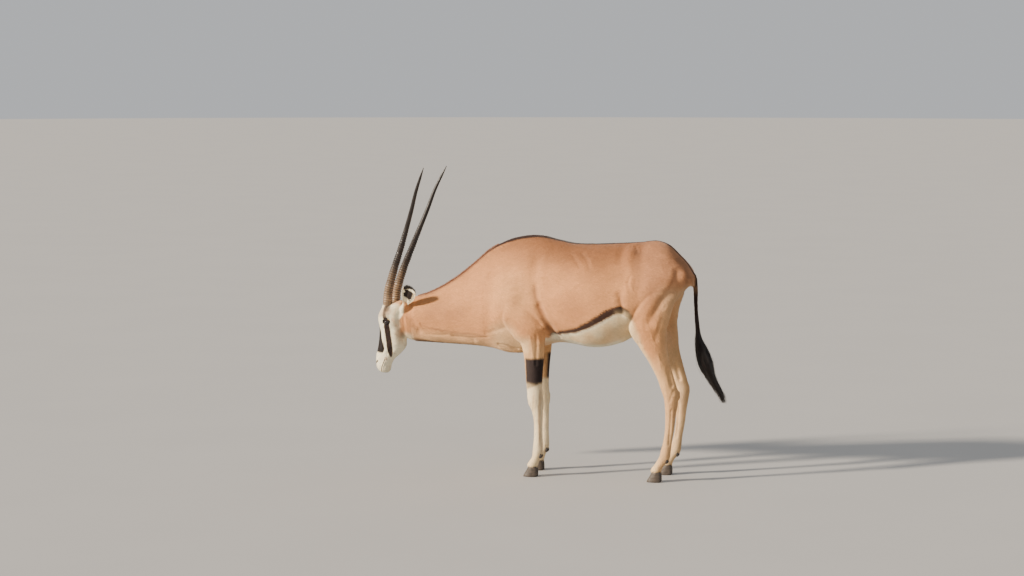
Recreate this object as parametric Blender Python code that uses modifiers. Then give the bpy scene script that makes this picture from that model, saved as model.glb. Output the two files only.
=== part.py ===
"""Beisa oryx, life size, standing square with the neck held low and the head hanging.

Frame: metres, Z up, the hooves on Z = 0, the head towards -X, the animal's left side towards -Y.
The stations are written from a line under the withers, and SHIFT_X moves them so that the box is centred.
"""

import math
import random

import bmesh
import bpy
import numpy as np
from mathutils import Matrix, Vector
from mathutils.bvhtree import BVHTree

# Frame
SHIFT_X = -0.0352
GAP = 0.0003

# Head turn about an upright line through the poll
HEAD_TURN = math.radians(-14.0)
HEAD_PIVOT_X = -0.70

# Fineness
SKIN_VOXEL = 0.0052
BODY_TRIS = 4900
HEAD_TRIS = 2150

# Trunk and neck: x, top, bottom, half width, level of the widest place, crown power, keel power
TRUNK = (
    (-0.745, 0.812, 0.720, 0.034, 0.775, 2.0, 1.9),
    (-0.700, 0.834, 0.668, 0.046, 0.765, 2.0, 1.8),
    (-0.640, 0.863, 0.642, 0.056, 0.765, 1.9, 1.7),
    (-0.560, 0.887, 0.637, 0.065, 0.762, 1.8, 1.75),
    (-0.480, 0.926, 0.634, 0.073, 0.765, 1.7, 1.8),
    (-0.400, 0.979, 0.631, 0.085, 0.785, 1.6, 1.8),
    (-0.320, 1.044, 0.627, 0.104, 0.805, 1.6, 1.8),
    (-0.240, 1.114, 0.618, 0.128, 0.820, 1.6, 1.7),
    (-0.150, 1.160, 0.597, 0.150, 0.835, 1.6, 1.6),
    (-0.060, 1.181, 0.604, 0.163, 0.855, 1.6, 1.6),
    (0.020, 1.181, 0.632, 0.172, 0.860, 1.7, 1.7),
    (0.100, 1.163, 0.655, 0.187, 0.865, 1.8, 1.9),
    (0.180, 1.148, 0.651, 0.203, 0.860, 1.9, 2.0),
    (0.260, 1.146, 0.638, 0.215, 0.855, 1.9, 2.1),
    (0.340, 1.149, 0.642, 0.217, 0.855, 1.9, 2.1),
    (0.420, 1.153, 0.666, 0.207, 0.865, 1.9, 2.0),
    (0.500, 1.158, 0.712, 0.190, 0.890, 1.9, 2.0),
    (0.580, 1.166, 0.758, 0.178, 0.930, 1.9, 2.0),
    (0.640, 1.148, 0.828, 0.168, 0.955, 1.9, 2.0),
    (0.690, 1.104, 0.886, 0.146, 0.980, 1.9, 2.0),
    (0.735, 1.056, 0.938, 0.110, 0.992, 1.9, 2.0),
    (0.768, 1.004, 0.950, 0.050, 0.976, 2.0, 2.0),
)

# Head from the poll down: level, front, rear, half width, place of the widest, brow power, rear power
HEAD = (
    (0.843, -0.718, -0.684, 0.020, -0.700, 2.0, 2.0),
    (0.835, -0.742, -0.678, 0.037, -0.710, 2.1, 2.0),
    (0.823, -0.777, -0.674, 0.049, -0.725, 2.2, 2.0),
    (0.808, -0.804, -0.672, 0.058, -0.742, 2.3, 2.0),
    (0.790, -0.818, -0.672, 0.063, -0.750, 2.3, 2.0),
    (0.765, -0.8285, -0.672, 0.066, -0.757, 2.3, 2.0),
    (0.740, -0.830, -0.676, 0.067, -0.760, 2.2, 2.0),
    (0.712, -0.8275, -0.682, 0.063, -0.757, 2.0, 2.0),
    (0.680, -0.8295, -0.684, 0.058, -0.752, 1.9, 2.0),
    (0.648, -0.8335, -0.683, 0.052, -0.750, 1.9, 2.0),
    (0.620, -0.8385, -0.682, 0.046, -0.752, 1.9, 1.9),
    (0.598, -0.8425, -0.694, 0.0415, -0.762, 2.0, 1.9),
    (0.570, -0.8490, -0.722, 0.038, -0.782, 2.1, 1.9),
    (0.545, -0.8510, -0.752, 0.036, -0.796, 2.3, 1.9),
    (0.518, -0.8490, -0.769, 0.036, -0.803, 2.4, 1.9),
    (0.498, -0.8450, -0.774, 0.033, -0.806, 2.2, 2.0),
    (0.482, -0.8330, -0.780, 0.025, -0.804, 2.0, 2.0),
    (0.475, -0.8200, -0.788, 0.014, -0.802, 2.0, 2.0),
)

# Foreleg from the shoulder down: x, y, z, half depth fore and aft, half width
FORELEG = (
    (-0.030, 0.040, 1.060, 0.050, 0.018),
    (-0.060, 0.088, 0.960, 0.088, 0.040),
    (-0.075, 0.112, 0.840, 0.102, 0.052),
    (-0.035, 0.119, 0.740, 0.090, 0.052),
    (-0.012, 0.112, 0.675, 0.064, 0.044),
    (-0.005, 0.107, 0.610, 0.053, 0.037),
    (-0.005, 0.103, 0.530, 0.0450, 0.0340),
    (-0.004, 0.100, 0.450, 0.0395, 0.0305),
    (0.001, 0.099, 0.395, 0.0370, 0.0300),
    (0.005, 0.098, 0.362, 0.0355, 0.0295),
    (0.011, 0.097, 0.325, 0.0275, 0.0245),
    (0.015, 0.097, 0.270, 0.0218, 0.0195),
    (0.015, 0.096, 0.200, 0.0215, 0.0195),
    (0.014, 0.096, 0.150, 0.0245, 0.0220),
    (0.012, 0.096, 0.122, 0.0250, 0.0235),
    (0.002, 0.096, 0.088, 0.0205, 0.0215),
    (-0.012, 0.096, 0.058, 0.0250, 0.0260),
    (-0.016, 0.096, 0.0463, 0.0250, 0.0260),
)

# Hind leg from the haunch down, the same columns
HINDLEG = (
    (0.612, 0.085, 1.060, 0.098, 0.046),
    (0.596, 0.106, 0.950, 0.108, 0.064),
    (0.566, 0.117, 0.850, 0.112, 0.069),
    (0.564, 0.124, 0.765, 0.100, 0.060),
    (0.584, 0.124, 0.690, 0.074, 0.048),
    (0.612, 0.122, 0.610, 0.052, 0.038),
    (0.643, 0.119, 0.530, 0.041, 0.030),
    (0.664, 0.116, 0.465, 0.0385, 0.0275),
    (0.676, 0.114, 0.425, 0.0375, 0.0280),
    (0.677, 0.113, 0.385, 0.0325, 0.0260),
    (0.674, 0.112, 0.330, 0.0262, 0.0205),
    (0.669, 0.111, 0.260, 0.0225, 0.0190),
    (0.660, 0.110, 0.200, 0.0210, 0.0190),
    (0.652, 0.110, 0.155, 0.0240, 0.0215),
    (0.645, 0.110, 0.122, 0.0250, 0.0230),
    (0.623, 0.110, 0.088, 0.0205, 0.0215),
    (0.606, 0.110, 0.058, 0.0245, 0.0255),
    (0.602, 0.110, 0.0463, 0.0245, 0.0255),
)

# The far feet stand a little ahead of or behind the near ones, from this level down
FAR_FORE_STEP = -0.012
FAR_HIND_STEP = 0.015
STEP_LEVELS = (0.66, 0.86)

# Hooves: two claws to a foot, standing on flats
CLAW_LENGTH = 0.068
CLAW_WIDTH = 0.026
CLEFT = 0.004
FORE_FOOT = (-0.020, 0.096)
HIND_FOOT = (0.598, 0.110)

# Claw rings: level, length, breadth, set back
CLAW_LEVELS = (
    (0.0, 1.0, 1.0, -0.004),
    (0.010, 0.99, 1.0, -0.002),
    (0.026, 0.84, 0.97, 0.003),
    (0.0460, 0.66, 0.86, 0.007),
)
CLAW_SIDES = 10

# Dewclaws behind each fetlock
DEWCLAW_SIZE = (0.009, 0.008, 0.013)
DEWCLAW_LEVEL = 0.104
DEWCLAW_ASIDE = 0.0125
FORE_DEWCLAW = (0.028, 0.096)
HIND_DEWCLAW = (0.657, 0.110)

# Levels and places that tell the parted nodes apart
TORSO_LEVEL = 0.60
TORSO_MIDDLE = 0.30

# Muscle and bone forms on one side: places of a line, reach, height; a place without its y lies on the outer skin
FORMS = (
    ((-0.030, 1.080), (-0.110, 0.900), 0.070, 0.004),
    ((-0.120, 0.890), (-0.160, 0.790), 0.080, 0.007),
    ((-0.110, 0.790), (0.020, 0.750), 0.075, 0.006),
    ((0.050, 0.745), (0.058, 0.700), 0.036, 0.008),
    ((0.010, 1.060), (0.008, 0.980), (0.022, 0.898), (0.050, 0.815), 0.044, -0.004),
    ((0.056, 0.801), (0.083, 0.741), (0.100, 0.695), 0.032, -0.010),
    ((-0.205, 0.980), (-0.225, 0.800), 0.060, -0.005),
    ((0.178, 1.100), (0.205, 1.074), (0.232, 1.040), 0.026, -0.0030),
    ((0.230, 1.106), (0.262, 1.076), (0.280, 1.030), 0.026, -0.0030),
    ((0.146, 1.070), (0.184, 1.010), 0.026, -0.0020),
    ((0.395, 1.070), (0.395, 0.930), 0.120, -0.010),
    ((0.486, 1.140), (0.478, 1.118), 0.050, 0.009),
    ((0.476, 1.100), (0.482, 1.060), (0.500, 1.010), (0.490, 0.960), 0.058, 0.0045),
    ((0.530, 1.120), (0.590, 1.090), (0.660, 1.052), 0.060, -0.006),
    ((0.434, 0.918), (0.440, 0.890), (0.450, 0.835), 0.030, -0.005),
    ((0.480, 0.905), (0.490, 0.830), 0.050, 0.005),
    ((0.436, 1.140), (0.430, 1.085), 0.045, -0.005),
    ((0.475, 0.800), (0.492, 0.745), 0.045, 0.004),
    ((0.704, 1.026), (0.700, 0.985), (0.680, 0.940), (0.634, 0.885), (0.596, 0.822), (0.580, 0.785), 0.040, -0.006),
    ((0.738, 1.000), (0.728, 0.960), (0.696, 0.905), (0.655, 0.845), 0.036, 0.003),
    ((0.570, 0.980), (0.550, 0.860), 0.080, 0.006),
    ((0.745, 0.080, 1.020), (0.745, 0.080, 0.995), 0.034, 0.005),
    ((0.660, 0.138, 0.560), (0.682, 0.134, 0.480), 0.016, -0.009),
    ((0.660, 0.094, 0.560), (0.682, 0.094, 0.480), 0.016, -0.007),
    ((-0.030, 0.098, 0.395), (-0.026, 0.098, 0.365), 0.024, 0.004),
    ((0.028, 0.098, 0.385), (0.030, 0.098, 0.350), 0.018, 0.003),
    ((0.712, 0.113, 0.440), (0.713, 0.113, 0.420), 0.020, 0.006),
    ((-0.600, 0.700), (-0.330, 0.660), 0.030, -0.004),
    ((-0.620, 0.790), (-0.350, 0.840), 0.050, 0.003),
)

# Face forms on one side, in the head's own straight frame
FACE_FORMS = (
    ((-0.790, 0.060, 0.772), (-0.760, 0.066, 0.768), 0.020, 0.006),
    ((-0.798, 0.056, 0.715), (-0.765, 0.062, 0.708), 0.016, 0.003),
    ((-0.815, 0.045, 0.745), (-0.812, 0.045, 0.720), 0.016, -0.005),
    ((-0.805, 0.040, 0.690), (-0.825, 0.028, 0.600), 0.016, -0.0025),
    ((-0.775, 0.055, 0.690), (-0.800, 0.036, 0.600), 0.016, 0.0025),
    ((-0.715, 0.052, 0.680), (-0.712, 0.045, 0.630), 0.032, 0.005),
    ((-0.745, 0.040, 0.600), (-0.765, 0.036, 0.575), 0.022, -0.004),
    ((-0.830, 0.020, 0.525), (-0.815, 0.030, 0.512), 0.014, 0.0025),
    ((-0.815, 0.030, 0.500), (-0.790, 0.033, 0.522), 0.010, 0.0022),
    ((-0.790, 0.028, 0.492), (-0.775, 0.030, 0.520), 0.010, 0.0015),
    ((-0.700, 0.045, 0.770), (-0.700, 0.050, 0.720), 0.024, -0.004),
    ((-0.775, 0.040, 0.835), (-0.752, 0.040, 0.840), 0.024, 0.004),
)

# Eyes
EYE_PLACE = (-0.7580, 0.0555, 0.7370)
EYE_RADIUS = 0.0165
EYE_SEGMENTS = (16, 10)
EYE_OPENING = (0.0290, 0.0200)
EYE_TILT = math.radians(14.0)

# Nostril: a slanting slit
NOSTRIL_PATH = ((-0.8440, 0.0150, 0.5140), (-0.8410, 0.0225, 0.5260), (-0.8310, 0.0285, 0.5330))
NOSTRIL_RADIUS = (0.0036, 0.0044, 0.0022)

# Line of the mouth, from its lower middle to its corner
MOUTH_TIP = (-0.8150, 0.4740)
MOUTH_CORNER = (-0.7860, 0.5450)
MOUTH_DEPTH = 0.0035
MOUTH_GAP = 0.0016

# Horns in the head's own frame: path, and the radius along it
HORN_PATH = (
    (-0.7655, 0.0400, 0.7980),
    (-0.7650, 0.0405, 0.8180),
    (-0.7640, 0.0412, 0.8450),
    (-0.7555, 0.0430, 0.9000),
    (-0.7220, 0.0480, 1.0000),
    (-0.6810, 0.0560, 1.1000),
    (-0.6410, 0.0680, 1.2000),
    (-0.6020, 0.0820, 1.3000),
    (-0.5660, 0.0960, 1.4000),
    (-0.5135, 0.1160, 1.5120),
)
HORN_RADII = ((0.0, 0.0215), (0.05, 0.0222), (0.11, 0.0215), (0.25, 0.0182), (0.39, 0.0150), (0.54, 0.0125),
              (0.69, 0.0105), (0.84, 0.0082), (0.93, 0.0060), (1.0, 0.0014))
HORN_RINGS = 34
HORN_RINGED = (0.045, 0.565)
HORN_RING_HEIGHT = 0.0013
HORN_SIDES = 8
HORN_SOCKET = 0.12

# Skin mound round the root of a horn: place in the head's own frame and radius
HORN_MOUND = (((-0.7640, 0.0390, 0.7700), 0.0240), ((-0.7650, 0.0403, 0.7950), 0.0285),
              ((-0.7650, 0.0407, 0.8110), 0.0278), ((-0.7645, 0.0412, 0.8210), 0.0240))

# Ears in the head's own frame: root, direction, direction that the cup faces
EAR_LENGTH = 0.142
EAR_WIDTH = 0.070
EAR_CUP = 0.018
EAR_WALL = 0.0035
EAR_SIDES = 9
EAR_OUTLINE = ((0.0, 0.34), (0.12, 0.58), (0.28, 0.88), (0.48, 1.0), (0.68, 0.97), (0.82, 0.83), (0.92, 0.62),
               (0.975, 0.38), (1.0, 0.12))
NEAR_EAR = ((-0.667, -0.045, 0.814), (0.500, -0.370, 0.820), (0.240, -0.950, 0.0))
FAR_EAR = ((-0.667, 0.046, 0.808), (0.25, 0.95, 0.12), (-0.75, 0.10, 0.55))
EAR_ROOT_RADIUS = 0.0095
EAR_ROOT_REACH = (0.002, 0.016, 0.030, 0.042)
EAR_START = 0.033
EAR_MOUND = ((-0.030, 0.022), (-0.010, 0.0205), (0.008, 0.0170), (0.020, 0.0125))

# Tail: path of the stem, its radii, and the tuft
TAIL_PATH = (
    (0.7060, 0.0, 1.0320),
    (0.7560, 0.0, 0.9980),
    (0.7720, 0.0, 0.9400),
    (0.7750, 0.0, 0.8650),
    (0.7790, 0.0, 0.7900),
    (0.7860, 0.0, 0.7250),
)
TAIL_RADII = (0.0210, 0.0180, 0.0125, 0.0100, 0.0100, 0.0110)
TAIL_SOCKET = 0.55
TUFT_PATH = (
    (0.7860, 0.0, 0.7244),
    (0.7904, 0.0, 0.6850),
    (0.8060, 0.0, 0.6300),
    (0.8250, 0.0, 0.5700),
    (0.8500, 0.0, 0.5080),
    (0.8800, 0.0, 0.4560),
    (0.9040, 0.0, 0.4150),
    (0.9160, 0.0, 0.3800),
)
TUFT_RADII = (0.0110, 0.0170, 0.0310, 0.0370, 0.0230, 0.0160, 0.0110, 0.0020)
TUFT_CORE = (0.0110, 0.0085, 0.0155, 0.0185, 0.0115, 0.0080, 0.0055, 0.0010)

# Locks of the tuft: count, where along the tuft they start, their reach along it, width and thickness
TUFT_LOCKS = 27
TUFT_LOCK_START = (0.06, 0.72)
TUFT_LOCK_REACH = (0.26, 0.34)
TUFT_LOCK_SIZE = (0.021, 0.0080)
TUFT_LOCK_SPREAD = (0.20, 0.72, 0.98, 1.02, 1.08)
LOCK_TURN = math.radians(137.5)
LOCK_DRIFT = math.radians(28.0)
SEED = 7

# Share of its full size that a lock has at each step
LOCK_TAPER = (0.75, 1.0, 0.92, 0.62, 0.10)

# Short standing mane on the nape and the crest
MANE_START_X = -0.609
MANE_END_X = -0.230
MANE_HEIGHT = 0.016
MANE_HALF_WIDTH = 0.0055
MANE_SINK = 0.006
MANE_STEPS = 16
MANE_CORE = 0.45

# Locks of the mane: count, length, width, thickness and how much they lean aside at their tips
MANE_LOCKS = 18
MANE_LOCK_LENGTH = 0.052
MANE_LOCK_SIZE = (0.0120, 0.0056)
MANE_LOCK_RISE = (0.10, 0.32, 0.66, 0.88, 1.00)
MANE_LOCK_ASIDE = 0.0022

# Planes of the thin cuts
HOOF_CUT = ((0.0, 0.0, 0.04615), (0.0, 0.0, 1.0))
HEAD_SPARE = 0.03
HEAD_CUT = ((-0.632, 0.0, 0.760), (0.962, -0.240, -0.120))
NECK_CUT = ((-0.270, 0.0, 0.850), (0.95, 0.0, -0.30))
FORE_CUT = ((-0.010, 0.128, 0.670), (0.00, 0.58, -0.81))
FORE_CUT_HALF = (0.110, 0.092)
HIND_CUT = ((0.580, 0.120, 0.735), (0.36, 0.42, -0.83))
HIND_CUT_HALF = (0.240, 0.130)

COAT = (0.560, 0.400, 0.290)
HORN_COLOUR = (0.075, 0.062, 0.055)
HOOF_COLOUR = (0.120, 0.100, 0.085)
EYE_COLOUR = (0.020, 0.012, 0.008)
TUFT_COLOUR = (0.045, 0.032, 0.026)
MANE_COLOUR = (0.230, 0.120, 0.070)


def clear_scene():
    """Empty the file."""
    for item in list(bpy.data.objects):
        bpy.data.objects.remove(item, do_unlink=True)


def new_collection(name):
    """Make a collection in the scene."""
    made = bpy.data.collections.new(name)
    bpy.context.scene.collection.children.link(made)
    return made


def material(name, colour, roughness):
    """Make a plain Principled material."""
    made = bpy.data.materials.new(name)
    made.use_nodes = True
    shader = made.node_tree.nodes["Principled BSDF"]
    shader.inputs["Base Color"].default_value = (*colour, 1.0)
    shader.inputs["Roughness"].default_value = roughness
    shader.inputs["Metallic"].default_value = 0.0
    return made


def through(rows, places):
    """Read a smooth curve through the rows at the given places, 0 for the first row and 1 for the last."""
    rows = np.asarray(rows, float)
    count = len(rows)
    at = np.clip(np.asarray(places, float), 0.0, 1.0) * (count - 1)
    cell = np.minimum(at.astype(int), count - 2)
    part = (at - cell)[:, None]
    before = rows[np.maximum(cell - 1, 0)]
    first = rows[cell]
    second = rows[cell + 1]
    after = rows[np.minimum(cell + 2, count - 1)]
    slope_a = (second - before) / 2.0
    slope_b = (after - first) / 2.0
    return ((2 * part**3 - 3 * part**2 + 1) * first + (part**3 - 2 * part**2 + part) * slope_a
            + (-2 * part**3 + 3 * part**2) * second + (part**3 - part**2) * slope_b)


def power(value, exponent):
    """Raise a signed number to a power and keep its sign."""
    return np.sign(value) * np.abs(value) ** exponent


def mesh_object(name, points, faces, collection):
    """Make an object from points and faces."""
    mesh = bpy.data.meshes.new(name)
    mesh.from_pydata([tuple(point) for point in points], [], [tuple(face) for face in faces])
    mesh.update()
    made = bpy.data.objects.new(name, mesh)
    collection.objects.link(made)
    return made


def loft(name, rings, collection, closed_ends=True):
    """Join equal rings of points into one closed skin with flat ends."""
    sides = len(rings[0])
    points = np.concatenate(rings)
    faces = []
    for ring in range(len(rings) - 1):
        for side in range(sides):
            following = (side + 1) % sides
            faces.append((ring * sides + side, ring * sides + following,
                          (ring + 1) * sides + following, (ring + 1) * sides + side))
    if closed_ends:
        last = (len(rings) - 1) * sides
        faces.append(tuple(range(sides - 1, -1, -1)))
        faces.append(tuple(range(last, last + sides)))
    made = mesh_object(name, points, faces, collection)
    work = bmesh.new()
    work.from_mesh(made.data)
    bmesh.ops.recalc_face_normals(work, faces=work.faces)
    work.to_mesh(made.data)
    work.free()
    return made


def trunk_rings(count=110, sides=44):
    """Upright rings of the trunk and neck."""
    angles = np.linspace(0.0, 2.0 * math.pi, sides, endpoint=False)
    rings = []
    for x, top, bottom, width, level, crown, keel in through(TRUNK, np.linspace(0, 1, count)):
        sine, cosine = np.sin(angles), np.cos(angles)
        shape = np.where(sine >= 0, crown, keel)
        height = np.where(sine >= 0, top - level, level - bottom)
        rings.append(np.stack([np.full(sides, x), width * power(cosine, 2.0 / shape),
                               level + height * power(sine, 2.0 / shape)], -1))
    return rings


def head_ring(row, angles):
    """One level ring of the head, counted from the front of the face."""
    level, front, rear, width, widest, brow, back = row
    cosine, sine = np.cos(angles), np.sin(angles)
    shape = np.where(cosine >= 0, brow, back)
    depth = np.where(cosine >= 0, widest - front, rear - widest)
    return np.stack([widest - depth * power(cosine, 2.0 / shape),
                     width * power(sine, 2.0 / shape), np.full(len(angles), level)], -1)


def head_rings(count=90, sides=40):
    """Level rings of the head from the poll down."""
    angles = np.linspace(0.0, 2.0 * math.pi, sides, endpoint=False)
    return [head_ring(row, angles) for row in through(HEAD, np.linspace(0, 1, count))]


def tube_rings(path, depths, widths, sides, across=(0.0, 1.0, 0.0)):
    """Rings square to a path, deep along it and wide across it."""
    path = np.asarray(path, float)
    slope = np.gradient(path, axis=0)
    slope /= np.linalg.norm(slope, axis=1)[:, None]
    angles = np.linspace(0.0, 2.0 * math.pi, sides, endpoint=False)
    rings = []
    for place, along, depth, width in zip(path, slope, depths, widths):
        side = np.asarray(across, float) - along * np.dot(across, along)
        side /= np.linalg.norm(side)
        fore = np.cross(along, side)
        rings.append(place + np.outer(np.cos(angles) * depth, fore) + np.outer(np.sin(angles) * width, side))
    return rings


def leg_rings(rows, hand, count=80, sides=28):
    """Rings down one leg, hand -1 on the left and 1 on the right."""
    read = through(rows, np.linspace(0, 1, count))
    path = read[:, :3] * np.array([1.0, hand, 1.0])
    if hand > 0:
        step = FAR_HIND_STEP if rows is HINDLEG else FAR_FORE_STEP
        part = np.clip((STEP_LEVELS[1] - path[:, 2]) / (STEP_LEVELS[1] - STEP_LEVELS[0]), 0.0, 1.0)
        path[:, 0] += step * part * part * (3.0 - 2.0 * part)
    return tube_rings(path, read[:, 3], read[:, 4], sides)


def turn_head(points):
    """Turn points of the head's own frame to its pose."""
    points = np.array(points, float)
    cosine, sine = math.cos(HEAD_TURN), math.sin(HEAD_TURN)
    away = points[..., 0] - HEAD_PIVOT_X
    side = points[..., 1].copy()
    points[..., 0] = HEAD_PIVOT_X + away * cosine - side * sine
    points[..., 1] = away * sine + side * cosine
    return points


def turned(made):
    """Turn an object made in the head's own frame."""
    points = turn_head([vertex.co[:] for vertex in made.data.vertices])
    for vertex, place in zip(made.data.vertices, points):
        vertex.co = place
    return made


def apply(made, modifier):
    """Apply one modifier to its object."""
    graph = bpy.context.evaluated_depsgraph_get()
    result = bpy.data.meshes.new_from_object(made.evaluated_get(graph))
    made.modifiers.remove(modifier)
    made.data = result
    return made


def join_meshes(name, pieces, collection):
    """Put several meshes in one mesh without fusing them."""
    work = bmesh.new()
    for piece in pieces:
        work.from_mesh(piece.data)
    mesh = bpy.data.meshes.new(name)
    work.to_mesh(mesh)
    work.free()
    for piece in pieces:
        bpy.data.objects.remove(piece, do_unlink=True)
    made = bpy.data.objects.new(name, mesh)
    collection.objects.link(made)
    return made


def fuse(made, voxel):
    """Fuse crossing closed meshes into one even skin."""
    change = made.modifiers.new("fuse", "REMESH")
    change.mode = "VOXEL"
    change.voxel_size = voxel
    bpy.context.view_layer.update()
    return apply(made, change)


def relax(made, rounds, keep=0.53):
    """Even out the skin and keep its volume."""
    mesh = made.data
    count = len(mesh.vertices)
    edges = np.array([edge.vertices[:] for edge in mesh.edges])
    points = np.empty(count * 3)
    mesh.vertices.foreach_get("co", points)
    points = points.reshape(-1, 3)
    ties = np.bincount(edges.ravel(), minlength=count)[:, None]
    for turn in range(rounds * 2):
        total = np.zeros_like(points)
        for axis in range(3):
            total[:, axis] = (np.bincount(edges[:, 0], points[edges[:, 1], axis], count)
                              + np.bincount(edges[:, 1], points[edges[:, 0], axis], count))
        factor = 0.5 if turn % 2 == 0 else -keep
        points = points + factor * (total / ties - points)
    mesh.vertices.foreach_set("co", points.ravel())
    mesh.update()
    return made


def on_skin(tree, place, hand):
    """A place on one side of the body: as given, or where a line from outside at its x and z meets the skin."""
    if len(place) == 3:
        return np.array(place) * (1, hand, 1)
    found = tree.ray_cast(Vector((place[0], hand, place[1])), Vector((0.0, -hand, 0.0)))[0]
    return np.array(found[:])


def both_sides(made, forms, pose=None):
    """The forms of one side and their mirror images, in the pose of the head where one is given."""
    tree = BVHTree.FromPolygons([vertex.co[:] for vertex in made.data.vertices],
                                [face.vertices[:] for face in made.data.polygons])
    lines = []
    for *places, reach, height in forms:
        for hand in (-1, 1):
            line = np.array([on_skin(tree, place, hand) for place in places])
            lines.append((pose(line) if pose else line, reach, height))
    return lines


def shape_forms(made, lines):
    """Raise or sink the skin along short lines."""
    mesh = made.data
    count = len(mesh.vertices)
    points = np.empty(count * 3)
    mesh.vertices.foreach_get("co", points)
    points = points.reshape(-1, 3)
    normals = np.empty(count * 3)
    mesh.vertex_normals.foreach_get("vector", normals)
    shift = np.zeros(count)
    for line, reach, height in lines:
        away = np.full(count, np.inf)
        for first, step in zip(line, np.diff(line, axis=0)):
            along = np.clip((points - first) @ step / (step @ step), 0.0, 1.0)
            away = np.minimum(away, np.linalg.norm(points - first - along[:, None] * step, axis=1))
        fall = np.clip(1.0 - away / reach, 0.0, 1.0)
        shift += height * fall * fall * (3.0 - 2.0 * fall)
    points = points + normals.reshape(-1, 3) * shift[:, None]
    mesh.vertices.foreach_set("co", points.ravel())
    mesh.update()
    return made


def thin_out(made, target):
    """Lower the number of triangles."""
    change = made.modifiers.new("even", "TRIANGULATE")
    apply(made, change)
    change = made.modifiers.new("thin", "DECIMATE")
    change.ratio = target / len(made.data.polygons)
    return apply(made, change)


def boolean(made, tools, operation, solver="EXACT"):
    """Cut or join with every mesh of a tool collection and drop the tools."""
    change = made.modifiers.new("cut", "BOOLEAN")
    change.operation = operation
    change.operand_type = "COLLECTION"
    change.collection = tools
    change.solver = solver
    bpy.context.view_layer.update()
    apply(made, change)
    for tool in list(tools.objects):
        bpy.data.objects.remove(tool, do_unlink=True)
    return made


def pieces_of(made):
    """Split a mesh into its separate closed surfaces, the largest first."""
    work = bmesh.new()
    work.from_mesh(made.data)
    bmesh.ops.remove_doubles(work, verts=work.verts, dist=0.00001)
    bmesh.ops.triangulate(work, faces=work.faces)
    seen = set()
    groups = []
    for face in work.faces:
        if face in seen:
            continue
        group = []
        stack = [face]
        seen.add(face)
        while stack:
            current = stack.pop()
            group.append(current)
            for edge in current.edges:
                for other in edge.link_faces:
                    if other not in seen:
                        seen.add(other)
                        stack.append(other)
        groups.append(group)
    result = []
    for group in groups:
        index = {}
        points = []
        faces = []
        for face in group:
            row = []
            for vertex in face.verts:
                if vertex not in index:
                    index[vertex] = len(points)
                    points.append(vertex.co.copy())
                row.append(index[vertex])
            faces.append(row)
        result.append((points, faces))
    work.free()
    return sorted(result, key=lambda part: -len(part[1]))


def keep_largest(made):
    """Keep only the largest closed surface of a node."""
    points, faces = pieces_of(made)[0]
    mesh = bpy.data.meshes.new(made.name)
    mesh.from_pydata(points, [], faces)
    made.data = mesh
    return made


def slab(name, cut, collection, half_size=(0.5, 0.5), hand=1):
    """A thin plate that parts two nodes."""
    place, normal = cut
    place = Vector((place[0], place[1] * hand, place[2]))
    normal = Vector((normal[0], normal[1] * hand, normal[2])).normalized()
    made = box(name, (2 * half_size[0], 2 * half_size[1], GAP), collection)
    across = normal.orthogonal().normalized() if abs(normal.y) < 1e-6 else normal.cross((0.0, 1.0, 0.0)).normalized()
    if abs(normal.y) < 1e-6:
        across = Vector((0.0, 1.0, 0.0)).cross(normal).normalized()
    other = normal.cross(across)
    turn = Matrix((across, other, normal)).transposed().to_4x4()
    made.data.transform(Matrix.Translation(place) @ turn)
    return made


def box(name, size, collection):
    """A box centred on the origin."""
    mesh = bpy.data.meshes.new(name)
    work = bmesh.new()
    bmesh.ops.create_cube(work, size=1.0)
    work.to_mesh(mesh)
    work.free()
    mesh.transform(Matrix.Diagonal((*size, 1.0)))
    made = bpy.data.objects.new(name, mesh)
    collection.objects.link(made)
    return made


def ball(name, place, radius, collection, fineness):
    """A sphere."""
    mesh = bpy.data.meshes.new(name)
    work = bmesh.new()
    bmesh.ops.create_uvsphere(work, u_segments=fineness[0], v_segments=fineness[1], radius=radius)
    bmesh.ops.triangulate(work, faces=work.faces)
    work.to_mesh(mesh)
    work.free()
    mesh.transform(Matrix.Translation(place))
    made = bpy.data.objects.new(name, mesh)
    collection.objects.link(made)
    return made


def along_length(rows, places):
    """Read a smooth curve through the rows at even parts of its length."""
    fine = through(rows, np.linspace(0, 1, 400))
    length = np.concatenate([[0.0], np.cumsum(np.linalg.norm(np.diff(fine[:, :3], axis=0), axis=1))])
    places = np.asarray(places) * length[-1]
    return np.stack([np.interp(places, length, fine[:, column]) for column in range(fine.shape[1])], -1)


def start_back(rings, grow):
    """Set the first ring back by some growth, so that the end of a socket stays clear of what stands in it."""
    along = rings[1].mean(axis=0) - rings[0].mean(axis=0)
    rings[0] = rings[0] - along / np.linalg.norm(along) * grow
    return rings


def horn_rings(hand, grow=0.0, upto=1.0):
    """Rings of one horn, ridged over its lower part."""
    ringed = np.linspace(HORN_RINGED[0], HORN_RINGED[1], 2 * HORN_RINGS + 1)
    places = np.concatenate([[0.0, 0.02], ringed, np.linspace(HORN_RINGED[1], 1.0, 9)[1:]])
    path = along_length(HORN_PATH, places) * np.array([1.0, hand, 1.0])
    radii = np.interp(places, *np.array(HORN_RADII).T) + grow
    ridge = np.array([1.0 if k % 2 else -0.6 for k in range(len(ringed))])
    radii[2:2 + len(ringed)] += HORN_RING_HEIGHT * ridge
    rings = tube_rings(turn_head(path), radii, radii * 0.94, HORN_SIDES)
    return start_back([ring for ring, place in zip(rings, places) if place <= upto], grow)


def ear_frame(ear):
    """Root, lengthwise, facing and sideways directions of an ear."""
    root, along, facing = (Vector(part) for part in ear)
    along.normalize()
    facing = (facing - along * facing.dot(along)).normalized()
    return root, along, facing, along.cross(facing)


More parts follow.
